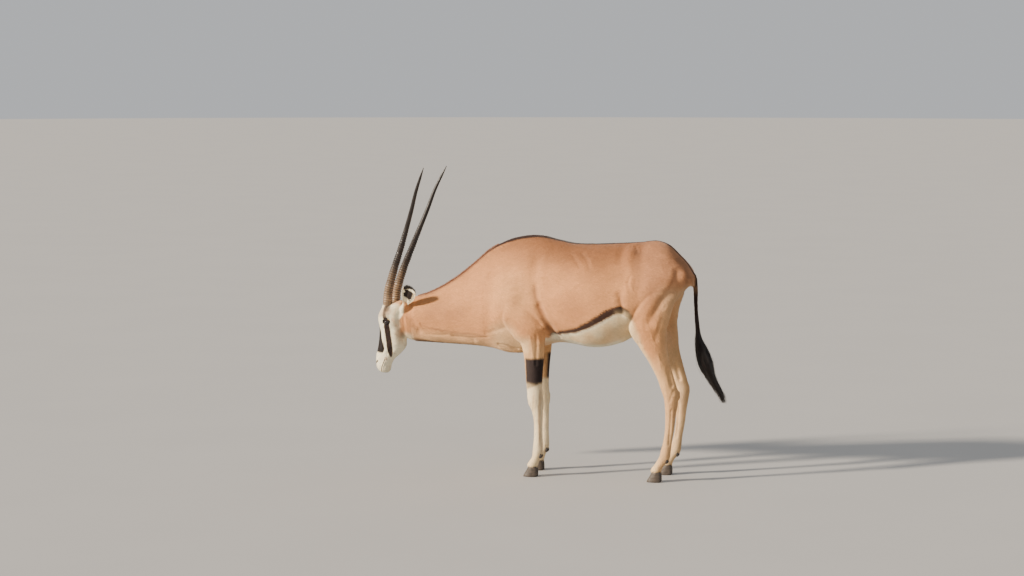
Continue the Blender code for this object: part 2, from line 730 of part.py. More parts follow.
def ear_blade(name, ear, collection):
    """The leaf shaped cup of an ear as one closed skin."""
    root, along, facing, side = ear_frame(ear)
    rings = []
    for part, spread in EAR_OUTLINE:
        width = 0.5 * EAR_WIDTH * spread
        cup = EAR_CUP * (width / (0.5 * EAR_WIDTH)) ** 0.5 * (1.0 - 0.35 * part)
        reach = EAR_START + (EAR_LENGTH - EAR_START) * part
        centre = root + along * reach + facing * (-0.002 + 0.010 * part * part)
        back, front = [], []
        for k in range(EAR_SIDES):
            turn = -1.0 + 2.0 * k / (EAR_SIDES - 1)
            lift = cup * (1.0 - turn * turn)
            wall = 0.5 * EAR_WALL * (1.0 - 0.45 * abs(turn))
            edge = centre + side * width * turn
            back.append((edge - facing * (lift + wall))[:])
            front.append((edge - facing * (lift - wall))[:])
        rings.append(turn_head(back + front[::-1]))
    return loft(name, rings, collection)


def ear_root(name, ear, collection, grow=0.0):
    """The round root of an ear, or with some growth the hole that it stands in."""
    root, along, _, _ = ear_frame(ear)
    path = turn_head([(root + along * (reach - grow))[:] for reach in EAR_ROOT_REACH])
    narrow = 1.0 if grow else 0.45
    radii = [EAR_ROOT_RADIUS + grow] * 3 + [(EAR_ROOT_RADIUS + grow) * narrow]
    return loft(name, tube_rings(path, radii, radii, 12), collection)


def ear_mound(ear, collection):
    """The fleshy mound that an ear stands on."""
    root, along, _, _ = ear_frame(ear)
    path = turn_head([(root + along * reach)[:] for reach, _ in EAR_MOUND])
    radii = [radius for _, radius in EAR_MOUND]
    return loft("ear mound", tube_rings(path, radii, radii, 16), collection)


def horn_mound(hand, collection):
    """The mound of skin that a horn grows from."""
    path = turn_head(np.array([place for place, _ in HORN_MOUND]) * (1, hand, 1))
    radii = [radius for _, radius in HORN_MOUND]
    return loft("horn mound", tube_rings(path, radii, radii, 16), collection)


def claw(name, foot, hand, outer, collection):
    """One claw of a foot, flat below and sloped to the toe."""
    out = 1 if outer else -1
    centre_y = hand * (foot[1] + out * (CLAW_WIDTH + CLEFT) * 0.5)
    rings = []
    for level, length, breadth, back in CLAW_LEVELS:
        ring = []
        for k in range(CLAW_SIDES):
            turn = 2.0 * math.pi * k / CLAW_SIDES
            x, y = -math.cos(turn), math.sin(turn)
            toe = max(0.0, -x)
            half = 0.5 * CLAW_WIDTH * breadth * (1.0 - 0.45 * toe * toe)
            place = half * float(power(y, 0.8)) - out * 0.10 * CLAW_WIDTH * toe
            ring.append((foot[0] + back + 0.5 * CLAW_LENGTH * length * x, centre_y + hand * place, level))
        rings.append(np.array(ring, float))
    return loft(name, rings, collection)


def crest_level(x):
    """Level of the top of the neck at a place along it."""
    rows = through(TRUNK, np.linspace(0, 1, 400))
    return float(np.interp(x, rows[:, 0], rows[:, 1]))


def mane_core(name, collection, height, grow=0.0):
    """The ridge that stands along the nape, sunk in the neck."""
    rings = []
    for x in np.linspace(MANE_START_X - grow, MANE_END_X + grow, MANE_STEPS):
        part = (x - MANE_START_X) / (MANE_END_X - MANE_START_X)
        rise = (height + grow) * (0.35 + 0.65 * math.sin(math.pi * min(max(part, 0.0), 1.0)) ** 0.5)
        level = crest_level(x)
        wide = MANE_HALF_WIDTH + grow
        rings.append(np.array([(x, -wide, level - MANE_SINK - grow), (x, wide, level - MANE_SINK - grow),
                               (x, 0.7 * wide, level + 0.4 * rise), (x, 0.25 * wide, level + rise),
                               (x, -0.25 * wide, level + rise), (x, -0.7 * wide, level + 0.4 * rise)]))
    return loft(name, rings, collection)


def lock(name, path, size, across, collection):
    """A flat tapered lock that follows its path to a fine tip."""
    taper = np.array(LOCK_TAPER)
    return loft(name, tube_rings(path, 0.5 * size[1] * taper, 0.5 * size[0] * taper, 4, across), collection)


def tuft_locks(collection):
    """Flat locks round the tuft, each from deep in its core along the lie to a bent tip."""
    chance = random.Random(SEED)
    for k in range(TUFT_LOCKS):
        start = TUFT_LOCK_START[0] + (TUFT_LOCK_START[1] - TUFT_LOCK_START[0]) * k / (TUFT_LOCKS - 1)
        places = np.linspace(start, min(start + chance.uniform(*TUFT_LOCK_REACH), 1.0), len(LOCK_TAPER))
        axis = through(TUFT_PATH, places)
        reach = through([[radius] for radius in TUFT_RADII], places)[:, 0]
        slope = np.gradient(axis, axis=0)
        out = np.cross(slope / np.linalg.norm(slope, axis=1)[:, None], (0.0, 1.0, 0.0))
        turn = k * LOCK_TURN + LOCK_DRIFT * chance.uniform(-1.0, 1.0) * np.linspace(0, 1, len(places))
        reach = reach * np.array(TUFT_LOCK_SPREAD) * chance.uniform(0.86, 1.06)
        round_it = np.cos(turn)[:, None] * out + np.sin(turn)[:, None] * np.array((0.0, 1.0, 0.0))
        across = np.cross(slope[2], round_it[2])
        lock("tuft lock", axis + reach[:, None] * round_it, TUFT_LOCK_SIZE, across, collection)


def mane_locks(collection):
    """Flat locks along the nape that lean back over each other."""
    chance = random.Random(SEED)
    for k in range(MANE_LOCKS):
        part = k / (MANE_LOCKS - 1)
        start = MANE_START_X + 0.004 + (MANE_END_X - MANE_START_X - MANE_LOCK_LENGTH) * part
        steps = np.linspace(0, 1, len(LOCK_TAPER))
        rise = MANE_HEIGHT * (0.55 + 0.45 * math.sin(math.pi * part) ** 0.5) * chance.uniform(0.85, 1.1)
        aside = MANE_LOCK_ASIDE * chance.uniform(-1.0, 1.0)
        path = []
        for step, lift in zip(steps, MANE_LOCK_RISE):
            x = start + MANE_LOCK_LENGTH * step
            path.append((x, aside * step * step, crest_level(x) + rise * lift))
        lock("mane lock", path, MANE_LOCK_SIZE, (-0.5, 0.0, 0.86), collection)


def finish(made, name, parts, slot):
    """Name a node, dress it and put it in the part's collection."""
    made.name = name
    made.data.name = name
    made.data.materials.clear()
    made.data.materials.append(slot)
    for polygon in made.data.polygons:
        polygon.use_smooth = True
    made.data.transform(Matrix.Translation((SHIFT_X, 0.0, 0.0)))
    for holder in list(made.users_collection):
        holder.objects.unlink(made)
    parts.objects.link(made)
    return made


def stepped(foot, step, hand):
    """The place of a foot with the step of the far side."""
    return foot[0] + (step if hand > 0 else 0.0), foot[1]


def dewclaw(foot, hand, aside, collection):
    """One dewclaw behind a fetlock."""
    nub = ball("dewclaw", (0.0, 0.0, 0.0), 1.0, collection, (10, 6))
    place = (foot[0], (foot[1] + aside) * hand, DEWCLAW_LEVEL)
    nub.data.transform(Matrix.Translation(place) @ Matrix.Diagonal((*DEWCLAW_SIZE, 1.0)))
    return nub


def build_skin(scratch):
    """Model all the flesh as one skin in its pose."""
    pieces = [loft("trunk", trunk_rings(), scratch), turned(loft("head", head_rings(), scratch)),
              ear_mound(NEAR_EAR, scratch), ear_mound(FAR_EAR, scratch)]
    for hand in (-1, 1):
        pieces.append(horn_mound(hand, scratch))
        pieces.append(loft("foreleg", leg_rings(FORELEG, hand), scratch))
        pieces.append(loft("hindleg", leg_rings(HINDLEG, hand), scratch))
        for foot in (stepped(FORE_DEWCLAW, FAR_FORE_STEP, hand), stepped(HIND_DEWCLAW, FAR_HIND_STEP, hand)):
            for aside in (-DEWCLAW_ASIDE, DEWCLAW_ASIDE):
                pieces.append(dewclaw(foot, hand, aside, scratch))
    skin = fuse(join_meshes("skin", pieces, scratch), SKIN_VOXEL)
    relax(skin, 8)
    shape_forms(skin, both_sides(skin, FORMS) + both_sides(skin, FACE_FORMS, turn_head))
    return relax(skin, 2)


def split_skin(skin, scratch):
    """Make the head and the body from copies of the skin, each thinned out to its own fineness."""
    head = skin.copy()
    head.data = skin.data.copy()
    scratch.objects.link(head)
    behind = (Vector(HEAD_CUT[0]) + Vector(HEAD_CUT[1]) * HEAD_SPARE, HEAD_CUT[1])
    trim(head, behind, -1.0)
    thin_out(head, HEAD_TRIS)
    trim(head, HEAD_CUT, -1.0)
    body = thin_out(skin, BODY_TRIS)
    trim(body, HEAD_CUT, 1.0)
    return head, body


def cut_eye(hand, collection):
    """The socket of an eye and the almond opening between its lids."""
    place = np.array(EYE_PLACE) * (1, hand, 1)
    turned(ball("eye socket", place, EYE_RADIUS + GAP, collection, EYE_SEGMENTS))
    rings = []
    for out, scale in ((0.006, 0.72), (0.030, 1.25)):
        ring = []
        for k in range(16):
            turn = 2.0 * math.pi * k / 16
            along = 0.5 * EYE_OPENING[0] * math.cos(turn) * scale
            lift = 0.5 * EYE_OPENING[1] * float(power(math.sin(turn), 1.15)) * scale
            ring.append((place[0] + along * math.cos(EYE_TILT) - lift * math.sin(EYE_TILT),
                         place[1] + hand * out,
                         place[2] + lift * math.cos(EYE_TILT) + along * math.sin(EYE_TILT)))
        rings.append(np.array(ring, float))
    turned(loft("eye opening", rings, collection))


def cut_mouth(collection):
    """The thin line between the lips, round the sides and the end of the muzzle."""
    read = through(HEAD, np.linspace(0, 1, 400))
    side = []
    for level in np.linspace(MOUTH_CORNER[1], MOUTH_TIP[1] + 0.002, 9):
        part = (level - MOUTH_TIP[1]) / (MOUTH_CORNER[1] - MOUTH_TIP[1])
        x = MOUTH_TIP[0] + (MOUTH_CORNER[0] - MOUTH_TIP[0]) * part
        row = read[np.argmin(np.abs(read[:, 0] - level))]
        behind = x > row[4]
        span = (row[2] - row[4]) if behind else (row[4] - row[1])
        shape = row[6] if behind else row[5]
        cosine = min(abs(x - row[4]) / span, 1.0) ** (shape / 2.0)
        side.append((x, row[3] * math.sqrt(1.0 - cosine * cosine) ** (2.0 / shape), level))
    middle = [(MOUTH_TIP[0], 0.0, MOUTH_TIP[1])]
    outline = np.array([(x, -y, z) for x, y, z in side] + middle + side[::-1])
    plane = np.array([MOUTH_CORNER[1] - MOUTH_TIP[1], 0.0, MOUTH_TIP[0] - MOUTH_CORNER[0]])
    plane /= np.linalg.norm(plane)
    slope = np.gradient(outline, axis=0)
    outward = np.cross(slope, plane)
    outward /= np.linalg.norm(outward, axis=1)[:, None]
    if outward[len(outline) // 2][2] > 0:
        outward = -outward
    rings = []
    for place, out in zip(outline, outward):
        half = plane * MOUTH_GAP * 0.5
        low, high = place - out * MOUTH_DEPTH, place + out * 0.008
        rings.append(np.array([low - half * 0.4, low + half * 0.4, high + half * 2.0, high - half * 2.0]))
    turned(loft("mouth line", rings, collection))


def cut_nostril(hand, collection):
    """The slit of one nostril."""
    steps = np.linspace(0, 1, 7)
    path = through(NOSTRIL_PATH, steps) * np.array([1.0, hand, 1.0])
    radii = through([[value] for value in NOSTRIL_RADIUS], steps)[:, 0]
    turned(loft("nostril", tube_rings(path, radii * 2.0, radii, 8), collection))


def part_body(body, parts, tools):
    """Cut the thin gaps between the neck, torso and legs and name what is left."""
    slab("neck cut", NECK_CUT, tools, (0.5, 0.5))
    for hand in (-1, 1):
        slab("fore cut", FORE_CUT, tools, FORE_CUT_HALF, hand)
        slab("hind cut", HIND_CUT, tools, HIND_CUT_HALF, hand)
    boolean(body, tools, "DIFFERENCE")
    nodes = {}
    for points, faces in pieces_of(body)[:6]:
        centre = sum(points, Vector()) / len(points)
        if centre.z > TORSO_LEVEL:
            name = "neck" if centre.x < NECK_CUT[0][0] else "torso"
        else:
            name = ("fore" if centre.x < TORSO_MIDDLE else "hind") + ("_left_leg" if centre.y < 0 else "_right_leg")
        nodes[name] = mesh_object(name, points, faces, parts)
    bpy.data.objects.remove(body, do_unlink=True)
    return nodes


def trim(made, cut, keep):
    """Keep one side of a plane, half a gap away from it, and close the end."""
    work = bmesh.new()
    work.from_mesh(made.data)
    normal = Vector(cut[1]).normalized() * keep
    bmesh.ops.bisect_plane(work, geom=work.verts[:] + work.edges[:] + work.faces[:],
                           plane_co=Vector(cut[0]) + normal * 0.5 * GAP, plane_no=normal,
                           clear_inner=True, dist=0.000001)
    bmesh.ops.holes_fill(work, edges=[edge for edge in work.edges if edge.is_boundary], sides=0)
    bmesh.ops.recalc_face_normals(work, faces=work.faces)
    work.to_mesh(made.data)
    work.free()


def open_head(head, tools):
    """Open the head for the eyes, horns, ears, mouth and nostrils."""
    for hand in (-1, 1):
        cut_eye(hand, tools)
        cut_nostril(hand, tools)
        loft("horn socket", horn_rings(hand, 2.0 * GAP, HORN_SOCKET), tools)
    cut_mouth(tools)
    for ear in (NEAR_EAR, FAR_EAR):
        ear_root("ear socket", ear, tools, 2.0 * GAP)
    boolean(head, tools, "DIFFERENCE")
    keep_largest(head)


def tail_tube(name, path, radii, steps, sides, collection, grow=0.0, upto=1.0):
    """A round tapered length of the tail."""
    places = np.linspace(0, 1, steps)
    thick = through([[radius] for radius in radii], places)[:, 0] + grow
    rings = tube_rings(through(path, places), thick, thick, sides)
    return loft(name, start_back([ring for ring, place in zip(rings, places) if place <= upto], grow), collection)


def build_tail(torso, parts, scratch, tools, coat, hair):
    """The tail: a stem that stands in the rump, and the tuft at its end."""
    tail_tube("tail socket", TAIL_PATH, TAIL_RADII, 14, 12, tools, GAP, TAIL_SOCKET)
    boolean(torso, tools, "DIFFERENCE")
    keep_largest(torso)
    finish(tail_tube("tail", TAIL_PATH, TAIL_RADII, 14, 12, scratch), "tail_stem", parts, coat)
    tuft = tail_tube("tuft", TUFT_PATH, TUFT_CORE, 10, 8, scratch)
    tuft_locks(tools)
    boolean(tuft, tools, "UNION")
    keep_largest(tuft)
    finish(tuft, "tail_tuft", parts, hair)


def build_mane(neck, parts, scratch, tools, hair):
    """The short mane along the nape, standing in a groove of the neck."""
    mane_core("mane groove", tools, MANE_HEIGHT + 0.01, 2.0 * GAP)
    boolean(neck, tools, "DIFFERENCE")
    keep_largest(neck)
    mane = mane_core("mane", scratch, MANE_HEIGHT * MANE_CORE)
    mane_locks(tools)
    boolean(mane, tools, "UNION")
    keep_largest(mane)
    finish(mane, "nape_mane", parts, hair)


def main():
    """Build the animal."""
    clear_scene()
    parts = new_collection("beisa_oryx")
    tools = new_collection("cutters")
    tools.hide_render = True
    scratch = new_collection("work pieces")

    coat = material("coat", COAT, 0.85)
    horn_stuff = material("horn", HORN_COLOUR, 0.45)
    hoof_stuff = material("hoof", HOOF_COLOUR, 0.55)
    eye_stuff = material("eye", EYE_COLOUR, 0.10)
    tuft_stuff = material("tuft hair", TUFT_COLOUR, 0.80)
    mane_stuff = material("mane hair", MANE_COLOUR, 0.80)

    head, body = split_skin(build_skin(scratch), scratch)
    nodes = part_body(body, parts, tools)
    for name, made in nodes.items():
        if name.endswith("leg"):
            trim(made, HOOF_CUT, 1.0)
    open_head(head, tools)
    nodes["head"] = head
    build_tail(nodes["torso"], parts, scratch, tools, coat, tuft_stuff)
    build_mane(nodes["neck"], parts, scratch, tools, mane_stuff)

    for hand, side in ((-1, "left"), (1, "right")):
        finish(loft("horn", horn_rings(hand), scratch), side + "_horn", parts, horn_stuff)
        eye = turned(ball("eye", np.array(EYE_PLACE) * (1, hand, 1), EYE_RADIUS, scratch, EYE_SEGMENTS))
        finish(eye, side + "_eye", parts, eye_stuff)
        for foot, end in ((stepped(FORE_FOOT, FAR_FORE_STEP, hand), "fore"),
                          (stepped(HIND_FOOT, FAR_HIND_STEP, hand), "hind")):
            for outer, word in ((True, "outer"), (False, "inner")):
                made = claw("claw", foot, hand, outer, scratch)
                finish(made, "{}_{}_{}_claw".format(end, side, word), parts, hoof_stuff)
    for name, ear in (("left_ear", NEAR_EAR), ("right_ear", FAR_EAR)):
        blade = ear_blade(name, ear, scratch)
        ear_root("ear root", ear, tools)
        boolean(blade, tools, "UNION")
        keep_largest(blade)
        finish(blade, name, parts, coat)
    for name, made in nodes.items():
        finish(made, name, parts, coat)


main()
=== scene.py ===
"""Looks of a life-size beisa oryx: one skin with its markings, painted light and shade, and folds, its short
coat, the mane, the tail tuft, ringed horns, eyes and hooves, on a pale studio floor.

Plan frame: metres, Z up, the head towards -X, the animal's left side towards -Y, and X counted from a line
under the withers. The row frame is the plan frame moved by SHIFT_X. The numbers inside a marking or a lid are
places in that frame, or in the head's own straight frame, and the distance over which they fade.
"""

import logging
import math
from dataclasses import dataclass
from enum import Enum

import bmesh
import bpy
import numpy as np
from mathutils import Matrix, Vector
from mathutils.bvhtree import BVHTree


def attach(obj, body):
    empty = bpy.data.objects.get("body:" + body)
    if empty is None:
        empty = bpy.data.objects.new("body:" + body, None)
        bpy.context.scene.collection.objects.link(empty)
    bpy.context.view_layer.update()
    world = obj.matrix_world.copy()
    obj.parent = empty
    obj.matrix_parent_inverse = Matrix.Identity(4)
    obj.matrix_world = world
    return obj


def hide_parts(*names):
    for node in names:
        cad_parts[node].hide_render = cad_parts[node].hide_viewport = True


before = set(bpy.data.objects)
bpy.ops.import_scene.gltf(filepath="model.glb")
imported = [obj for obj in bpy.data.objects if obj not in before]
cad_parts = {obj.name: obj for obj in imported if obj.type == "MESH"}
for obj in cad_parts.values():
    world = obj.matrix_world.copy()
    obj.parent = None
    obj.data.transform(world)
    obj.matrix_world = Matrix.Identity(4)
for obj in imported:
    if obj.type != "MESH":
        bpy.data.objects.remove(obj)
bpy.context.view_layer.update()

log = logging.getLogger("oryx")

Array = np.ndarray
Row = tuple[float, ...]
Line = tuple[Row, ...]
Form = tuple[Row | float, ...]
Piece = bpy.types.Object
Material = bpy.types.Material
Socket = bpy.types.NodeSocket

SHIFT_X = -0.0352
SEED = 20
FULL_TURN = 2.0 * math.pi
FLAT_MAP = "OFBake"
MAP_EDGE = 0.004
PATCH = 0.0012
NOISE_WAVES = 7
FINE_STEPS = 400


class Side(Enum):
    """The animal's left or right side, with the sign of its Y."""

    LEFT = -1
    RIGHT = 1

    @property
    def word(self) -> str:
        """Return the name of the side in small letters."""
        return self.name.lower()

    def place(self, points: Array | Row | Line) -> Array:
        """Return points that are given for the right side on this side."""
        return np.array(points) * (1, self.value, 1)


class Zone(Enum):
    """Parts of the skin that the coat is laid on piece by piece."""

    TRUNK_LEFT = 0
    TRUNK_RIGHT = 1
    NECK = 2
    HEAD = 3
    FORE_LEFT = 4
    FORE_RIGHT = 5
    HIND_LEFT = 6
    HIND_RIGHT = 7
    TAIL = 8


class Tone(Enum):
    """Named colours of the animal, as red, green and blue from 0 to 1 on screen."""

    FAWN = (0.845, 0.596, 0.388)
    FAWN_TOP = (0.565, 0.366, 0.228)
    # Darker rump: painted shade where the hindquarters face away from the key light.
    FAWN_RUMP = (0.735, 0.515, 0.37)
    FAWN_LEG = (0.89, 0.7, 0.49)
    CREAM = (0.955, 0.835, 0.64)
    WHITE = (0.985, 0.94, 0.815)
    # BAND and CHEEK are also laid along creases, folds and hollows as painted shade.
    BAND = (0.235, 0.155, 0.12)
    BLACK = (0.1, 0.068, 0.058)
    GARTER = (0.215, 0.172, 0.165)
    DORSAL = (0.205, 0.11, 0.078)
    NAPE = (0.6, 0.395, 0.275)
    CHEEK = (0.62, 0.43, 0.305)
    STEM = (0.18, 0.105, 0.08)
    TUFT = (0.12, 0.082, 0.068)
    EAR_INSIDE = (0.12, 0.075, 0.065)
    SKIN = (0.3, 0.21, 0.18)

    def linear(self) -> Array:
        """Return the colour as linear light."""
        screen = np.array(self.value)
        return np.where(screen <= 0.04045, screen / 12.92, ((screen + 0.055) / 1.055) ** 2.4)


def soft(value: Array, low: float, high: float) -> Array:
    """Rise smoothly from 0 at low to 1 at high.

    Args:
        value: Numbers to map.
        low: Where the rise starts.
        high: Where it ends, below low for a fall.

    Returns:
        Numbers from 0 to 1.
    """
    part = np.clip((np.asarray(value, float) - low) / (high - low), 0.0, 1.0)
    return part * part * (3.0 - 2.0 * part)


def oval(x: Array, z: Array, middle: Row, half: Row) -> Array:
    """Return how far places lie from the middle of an oval, with 1 on its rim."""
    return np.hypot((x - middle[0]) / half[0], (z - middle[1]) / half[1])


def through(rows: tuple | list | Array, places: Array) -> Array:
    """Read a smooth curve through rows of numbers.

    Args:
        rows: Rows that the curve passes through.
        places: Places from 0 for the first row to 1 for the last.

    Returns:
        One row for each place.
    """
    rows = np.asarray(rows, float)
    count = len(rows)
    at = np.clip(np.asarray(places, float), 0.0, 1.0) * (count - 1)
    cell = np.minimum(at.astype(int), count - 2)
    part = (at - cell)[:, None]
    before = rows[np.maximum(cell - 1, 0)]
    first = rows[cell]
    second = rows[cell + 1]
    after = rows[np.minimum(cell + 2, count - 1)]
    slope_a = (second - before) / 2.0
    slope_b = (after - first) / 2.0
    return ((2 * part**3 - 3 * part**2 + 1) * first + (part**3 - 2 * part**2 + part) * slope_a
            + (-2 * part**3 + 3 * part**2) * second + (part**3 - part**2) * slope_b)


def run_of(values: Row, places: Array) -> Array:
    """Read a smooth curve through single numbers at places from 0 to 1."""
    return through([[value] for value in values], places)[:, 0]


def along_length(rows: tuple | Array, places: Array) -> Array:
    """Read a smooth curve through the rows at even parts of its length.

    Args:
        rows: Rows that start with x, y and z.
        places: Parts of the length from 0 to 1.

    Returns:
        One row for each place.
    """
    fine = through(rows, np.linspace(0, 1, FINE_STEPS))
    steps = np.linalg.norm(np.diff(fine[:, :3], axis=0), axis=1)
    length = np.concatenate([[0.0], np.cumsum(steps)])
    at = np.asarray(places) * length[-1]
    return np.stack([np.interp(at, length, fine[:, column]) for column in range(fine.shape[1])], -1)


def read_table(rows: Line, at: Array | float, column: int = 1) -> Array:
    """Read one column of a table at values of its first column."""
    table = np.array(rows)
    return np.interp(at, table[:, 0], table[:, column])


def power(value: Array, exponent: Array | float) -> Array:
    """Raise a signed number to a power and keep its sign."""
    return np.sign(value) * np.abs(value) ** exponent


def line_distance(points: Array, line: Array) -> Array:
    """Measure how far points lie from a line of straight stretches.

    Args:
        points: Rows of coordinates.
        line: Places that the line goes through.

    Returns:
        One distance for each point.
    """
    away = np.full(len(points), np.inf)
    for first, step in zip(line, np.diff(line, axis=0)):
        along = np.clip((points - first) @ step / (step @ step), 0.0, 1.0)
        away = np.minimum(away, np.linalg.norm(points - first - along[:, None] * step, axis=1))
    return away


def side_distance(x: Array, z: Array, line: Line) -> Array:
    """Measure how far places lie from a line in the side view."""
    return line_distance(np.stack([x, z], -1), np.array(line))


def unit(vectors: Array) -> Array:
    """Scale vectors to length 1."""
    return vectors / np.maximum(np.linalg.norm(vectors, axis=-1, keepdims=True), 1e-9)


def noise(points: Array, scale: float, seed: int) -> Array:
    """Give smooth random numbers over space.

    Args:
        points: Places as rows of x, y and z.
        scale: Size of the patches in metres.
        seed: Number that picks the pattern.

    Returns:
        About -1 to 1 for each point.
    """
    chance = np.random.default_rng(seed)
    total = np.zeros(len(points))
    for _ in range(NOISE_WAVES):
        way = chance.normal(size=3)
        total += np.sin(points @ (way / scale) * 2.0 + chance.uniform(0, FULL_TURN))
    return total / 4.0


def round_angles(count: int) -> Array:
    """Return even angles round a ring."""
    return np.linspace(0.0, FULL_TURN, count, endpoint=False)


def tube_rings(path: Array, depths: Array, widths: Array, sides: int) -> list[Array]:
    """Rings square to a path, deep along it and wide across it.

    Args:
        path: Points of the path.
        depths: Half depth at each point.
        widths: Half width at each point.
        sides: Points of a ring.

    Returns:
        One ring of points for each point of the path.
    """
    path = np.asarray(path, float)
    across = np.array([0.0, 1.0, 0.0])
    angles = round_angles(sides)
    rings = []
    for place, along, depth, width in zip(path, unit(np.gradient(path, axis=0)), depths, widths):
        side = unit(across - along * np.dot(across, along))
        fore = np.cross(along, side)
        rings.append(place + np.outer(np.cos(angles) * depth, fore)
                     + np.outer(np.sin(angles) * width, side))
    return rings


def read_mesh(rows: bpy.types.bpy_prop_collection, name: str, width: int = 1, kind: type = float) -> Array:
    """Read one property of all points, edges, corners or faces of a mesh.

    Args:
        rows: The points, edges, corners or faces.
        name: Name of the property.
        width: How many numbers each of them has.
        kind: Kind of number.

    Returns:
        The numbers, as rows where each has more than one.
    """
    found = np.empty(len(rows) * width, kind)
    rows.foreach_get(name, found)
    return found.reshape(-1, width) if width > 1 else found


class Workshop:
    """Makes, joins, fuses and smooths meshes."""

    @staticmethod
    def add(name: str, data: bpy.types.ID) -> Piece:
        """Show a mesh, a light or a camera in the scene as an object.

        Args:
            name: Name of the object.
            data: The mesh, light or camera.

        Returns:
            The object.
        """
        made = bpy.data.objects.new(name, data)
        bpy.context.scene.collection.objects.link(made)
        return made

    @classmethod
    def ball(cls, name: str, columns: int, rows: int, radius: float) -> Piece:
        """Make a ball of columns and rows of faces.

        Args:
            name: Name of the object.
            columns: Faces round it.
            rows: Faces from pole to pole.
            radius: Its radius.

        Returns:
            The ball.
        """
        mesh = bpy.data.meshes.new(name)
        work = bmesh.new()
        bmesh.ops.create_uvsphere(work, u_segments=columns, v_segments=rows, radius=radius)
        work.to_mesh(mesh)
        work.free()
        return cls.add(name, mesh)

    @classmethod
    def loft(cls, name: str, rings: list[Array]) -> Piece:
        """Join equal rings of points into one closed skin with flat ends.

        Args:
            name: Name of the object.
            rings: Rings with the same number of points each.

        Returns:
            The closed object.
        """
        sides = len(rings[0])
        last = (len(rings) - 1) * sides
        faces = []
        for low in range(0, last, sides):
            for side in range(sides):
                following = (side + 1) % sides
                faces.append((low + side, low + following, low + sides + following, low + sides + side))
        faces.append(tuple(range(sides - 1, -1, -1)))
        faces.append(tuple(range(last, last + sides)))
        mesh = bpy.data.meshes.new(name)
        mesh.from_pydata(np.concatenate(rings).tolist(), [], faces)
        work = bmesh.new()
        work.from_mesh(mesh)
        bmesh.ops.recalc_face_normals(work, faces=work.faces)
        work.to_mesh(mesh)
        work.free()
        return cls.add(name, mesh)

    @classmethod
    def join(cls, name: str, pieces: list[Piece]) -> Piece:
        """Put several meshes in one object and remove them.

        Args:
            name: Name of the object.
            pieces: Objects to join.

        Returns:
            The joined object.
        """
        work = bmesh.new()
        for piece in pieces:
            work.from_mesh(piece.data)
            bpy.data.objects.remove(piece, do_unlink=True)
        mesh = bpy.data.meshes.new(name)
        work.to_mesh(mesh)
        work.free()
        return cls.add(name, mesh)

    @staticmethod
    def fuse(made: Piece, voxel: float) -> None:
        """Fuse crossing closed meshes into one even skin of the given cell size.

        Args:
            made: Object to change.
            voxel: Size of a cell.
        """
        change = made.modifiers.new("fuse", "REMESH")
        change.mode = "VOXEL"
        change.voxel_size = voxel
        bpy.context.view_layer.update()
        result = bpy.data.meshes.new_from_object(made.evaluated_get(bpy.context.evaluated_depsgraph_get()))
        made.modifiers.remove(change)
        made.data = result

    @staticmethod
    def tree(made: Piece) -> BVHTree:
        """Return a search tree of the faces of a mesh."""
        return BVHTree.FromPolygons([vertex.co[:] for vertex in made.data.vertices],
                                    [face.vertices[:] for face in made.data.polygons])

    @staticmethod
    def points(made: Piece) -> Array:
        """Return the points of a mesh as rows."""
        return read_mesh(made.data.vertices, "co", 3)

    @staticmethod
    def normals(made: Piece) -> Array:
        """Return the outward direction at each point as rows."""
        return read_mesh(made.data.vertex_normals, "vector", 3)

    @staticmethod
    def move(made: Piece, points: Array) -> None:
        """Give a mesh new points."""
        made.data.vertices.foreach_set("co", np.ascontiguousarray(points).ravel())
        made.data.update()

    @classmethod
    def sink(cls, made: Piece, depth: Array) -> None:
        """Draw each point of a skin in by its own depth."""
        cls.move(made, cls.points(made) - cls.normals(made) * depth[:, None])

    @classmethod
    def relax(cls, made: Piece, rounds: int, weight: Array | float = 1.0, give: float = 0.5,
              keep: float = 0.53) -> None:
        """Even out a skin and keep its volume.

        Args:
            made: Object to smooth.
            rounds: Number of passes in and out.
            weight: Strength from 0 to 1, for all points or for each.
            give: Strength of the passes that smooth.
            keep: Strength of the passes that restore the volume.
        """
        points = cls.points(made)
        first, second = read_mesh(made.data.edges, "vertices", 2, np.int64).T
        ties = np.bincount(np.concatenate([first, second]), minlength=len(points))
        strength = weight if np.ndim(weight) == 0 else np.asarray(weight)[:, None]
        for factor in (give, -keep) * rounds:
            total = np.stack([np.bincount(first, points[second, axis], len(points))
                              + np.bincount(second, points[first, axis], len(points)) for axis in range(3)],
                             -1)
            points = points + factor * strength * (total / ties[:, None] - points)
        cls.move(made, points)

    @classmethod
    def press(cls, made: Piece, lines: list[tuple[Array, float, float]]) -> None:
        """Raise or sink a skin along lines.

        Args:
            made: Object to shape.
            lines: Places, reach and height of each line.
        """
        points = cls.points(made)
        shift = np.zeros(len(points))
        for line, reach, height in lines:
            box = np.all((points > line.min(axis=0) - reach) & (points < line.max(axis=0) + reach), axis=1)
            fall = np.clip(1.0 - line_distance(points[box], line) / reach, 0.0, 1.0)
            shift[box] += height * fall * fall * (3.0 - 2.0 * fall)
        cls.sink(made, -shift)

    @staticmethod
    def refine(made: Piece, centre: Array, reach: float) -> None:
        """Halve the mesh cells within reach of a place.

        Args:
            made: Object to change.
            centre: The place.
            reach: How far the finer cells go.
        """
        work = bmesh.new()
        work.from_mesh(made.data)
        place = Vector(centre)
        edges = {edge for face in work.faces if (face.calc_center_median() - place).length < reach
                 for edge in face.edges}
        bmesh.ops.subdivide_edges(work, edges=list(edges), cuts=1, use_grid_fill=True)
        bmesh.ops.triangulate(work, faces=[face for face in work.faces if len(face.verts) > 4])
        work.to_mesh(made.data)
        work.free()
        made.data.update()


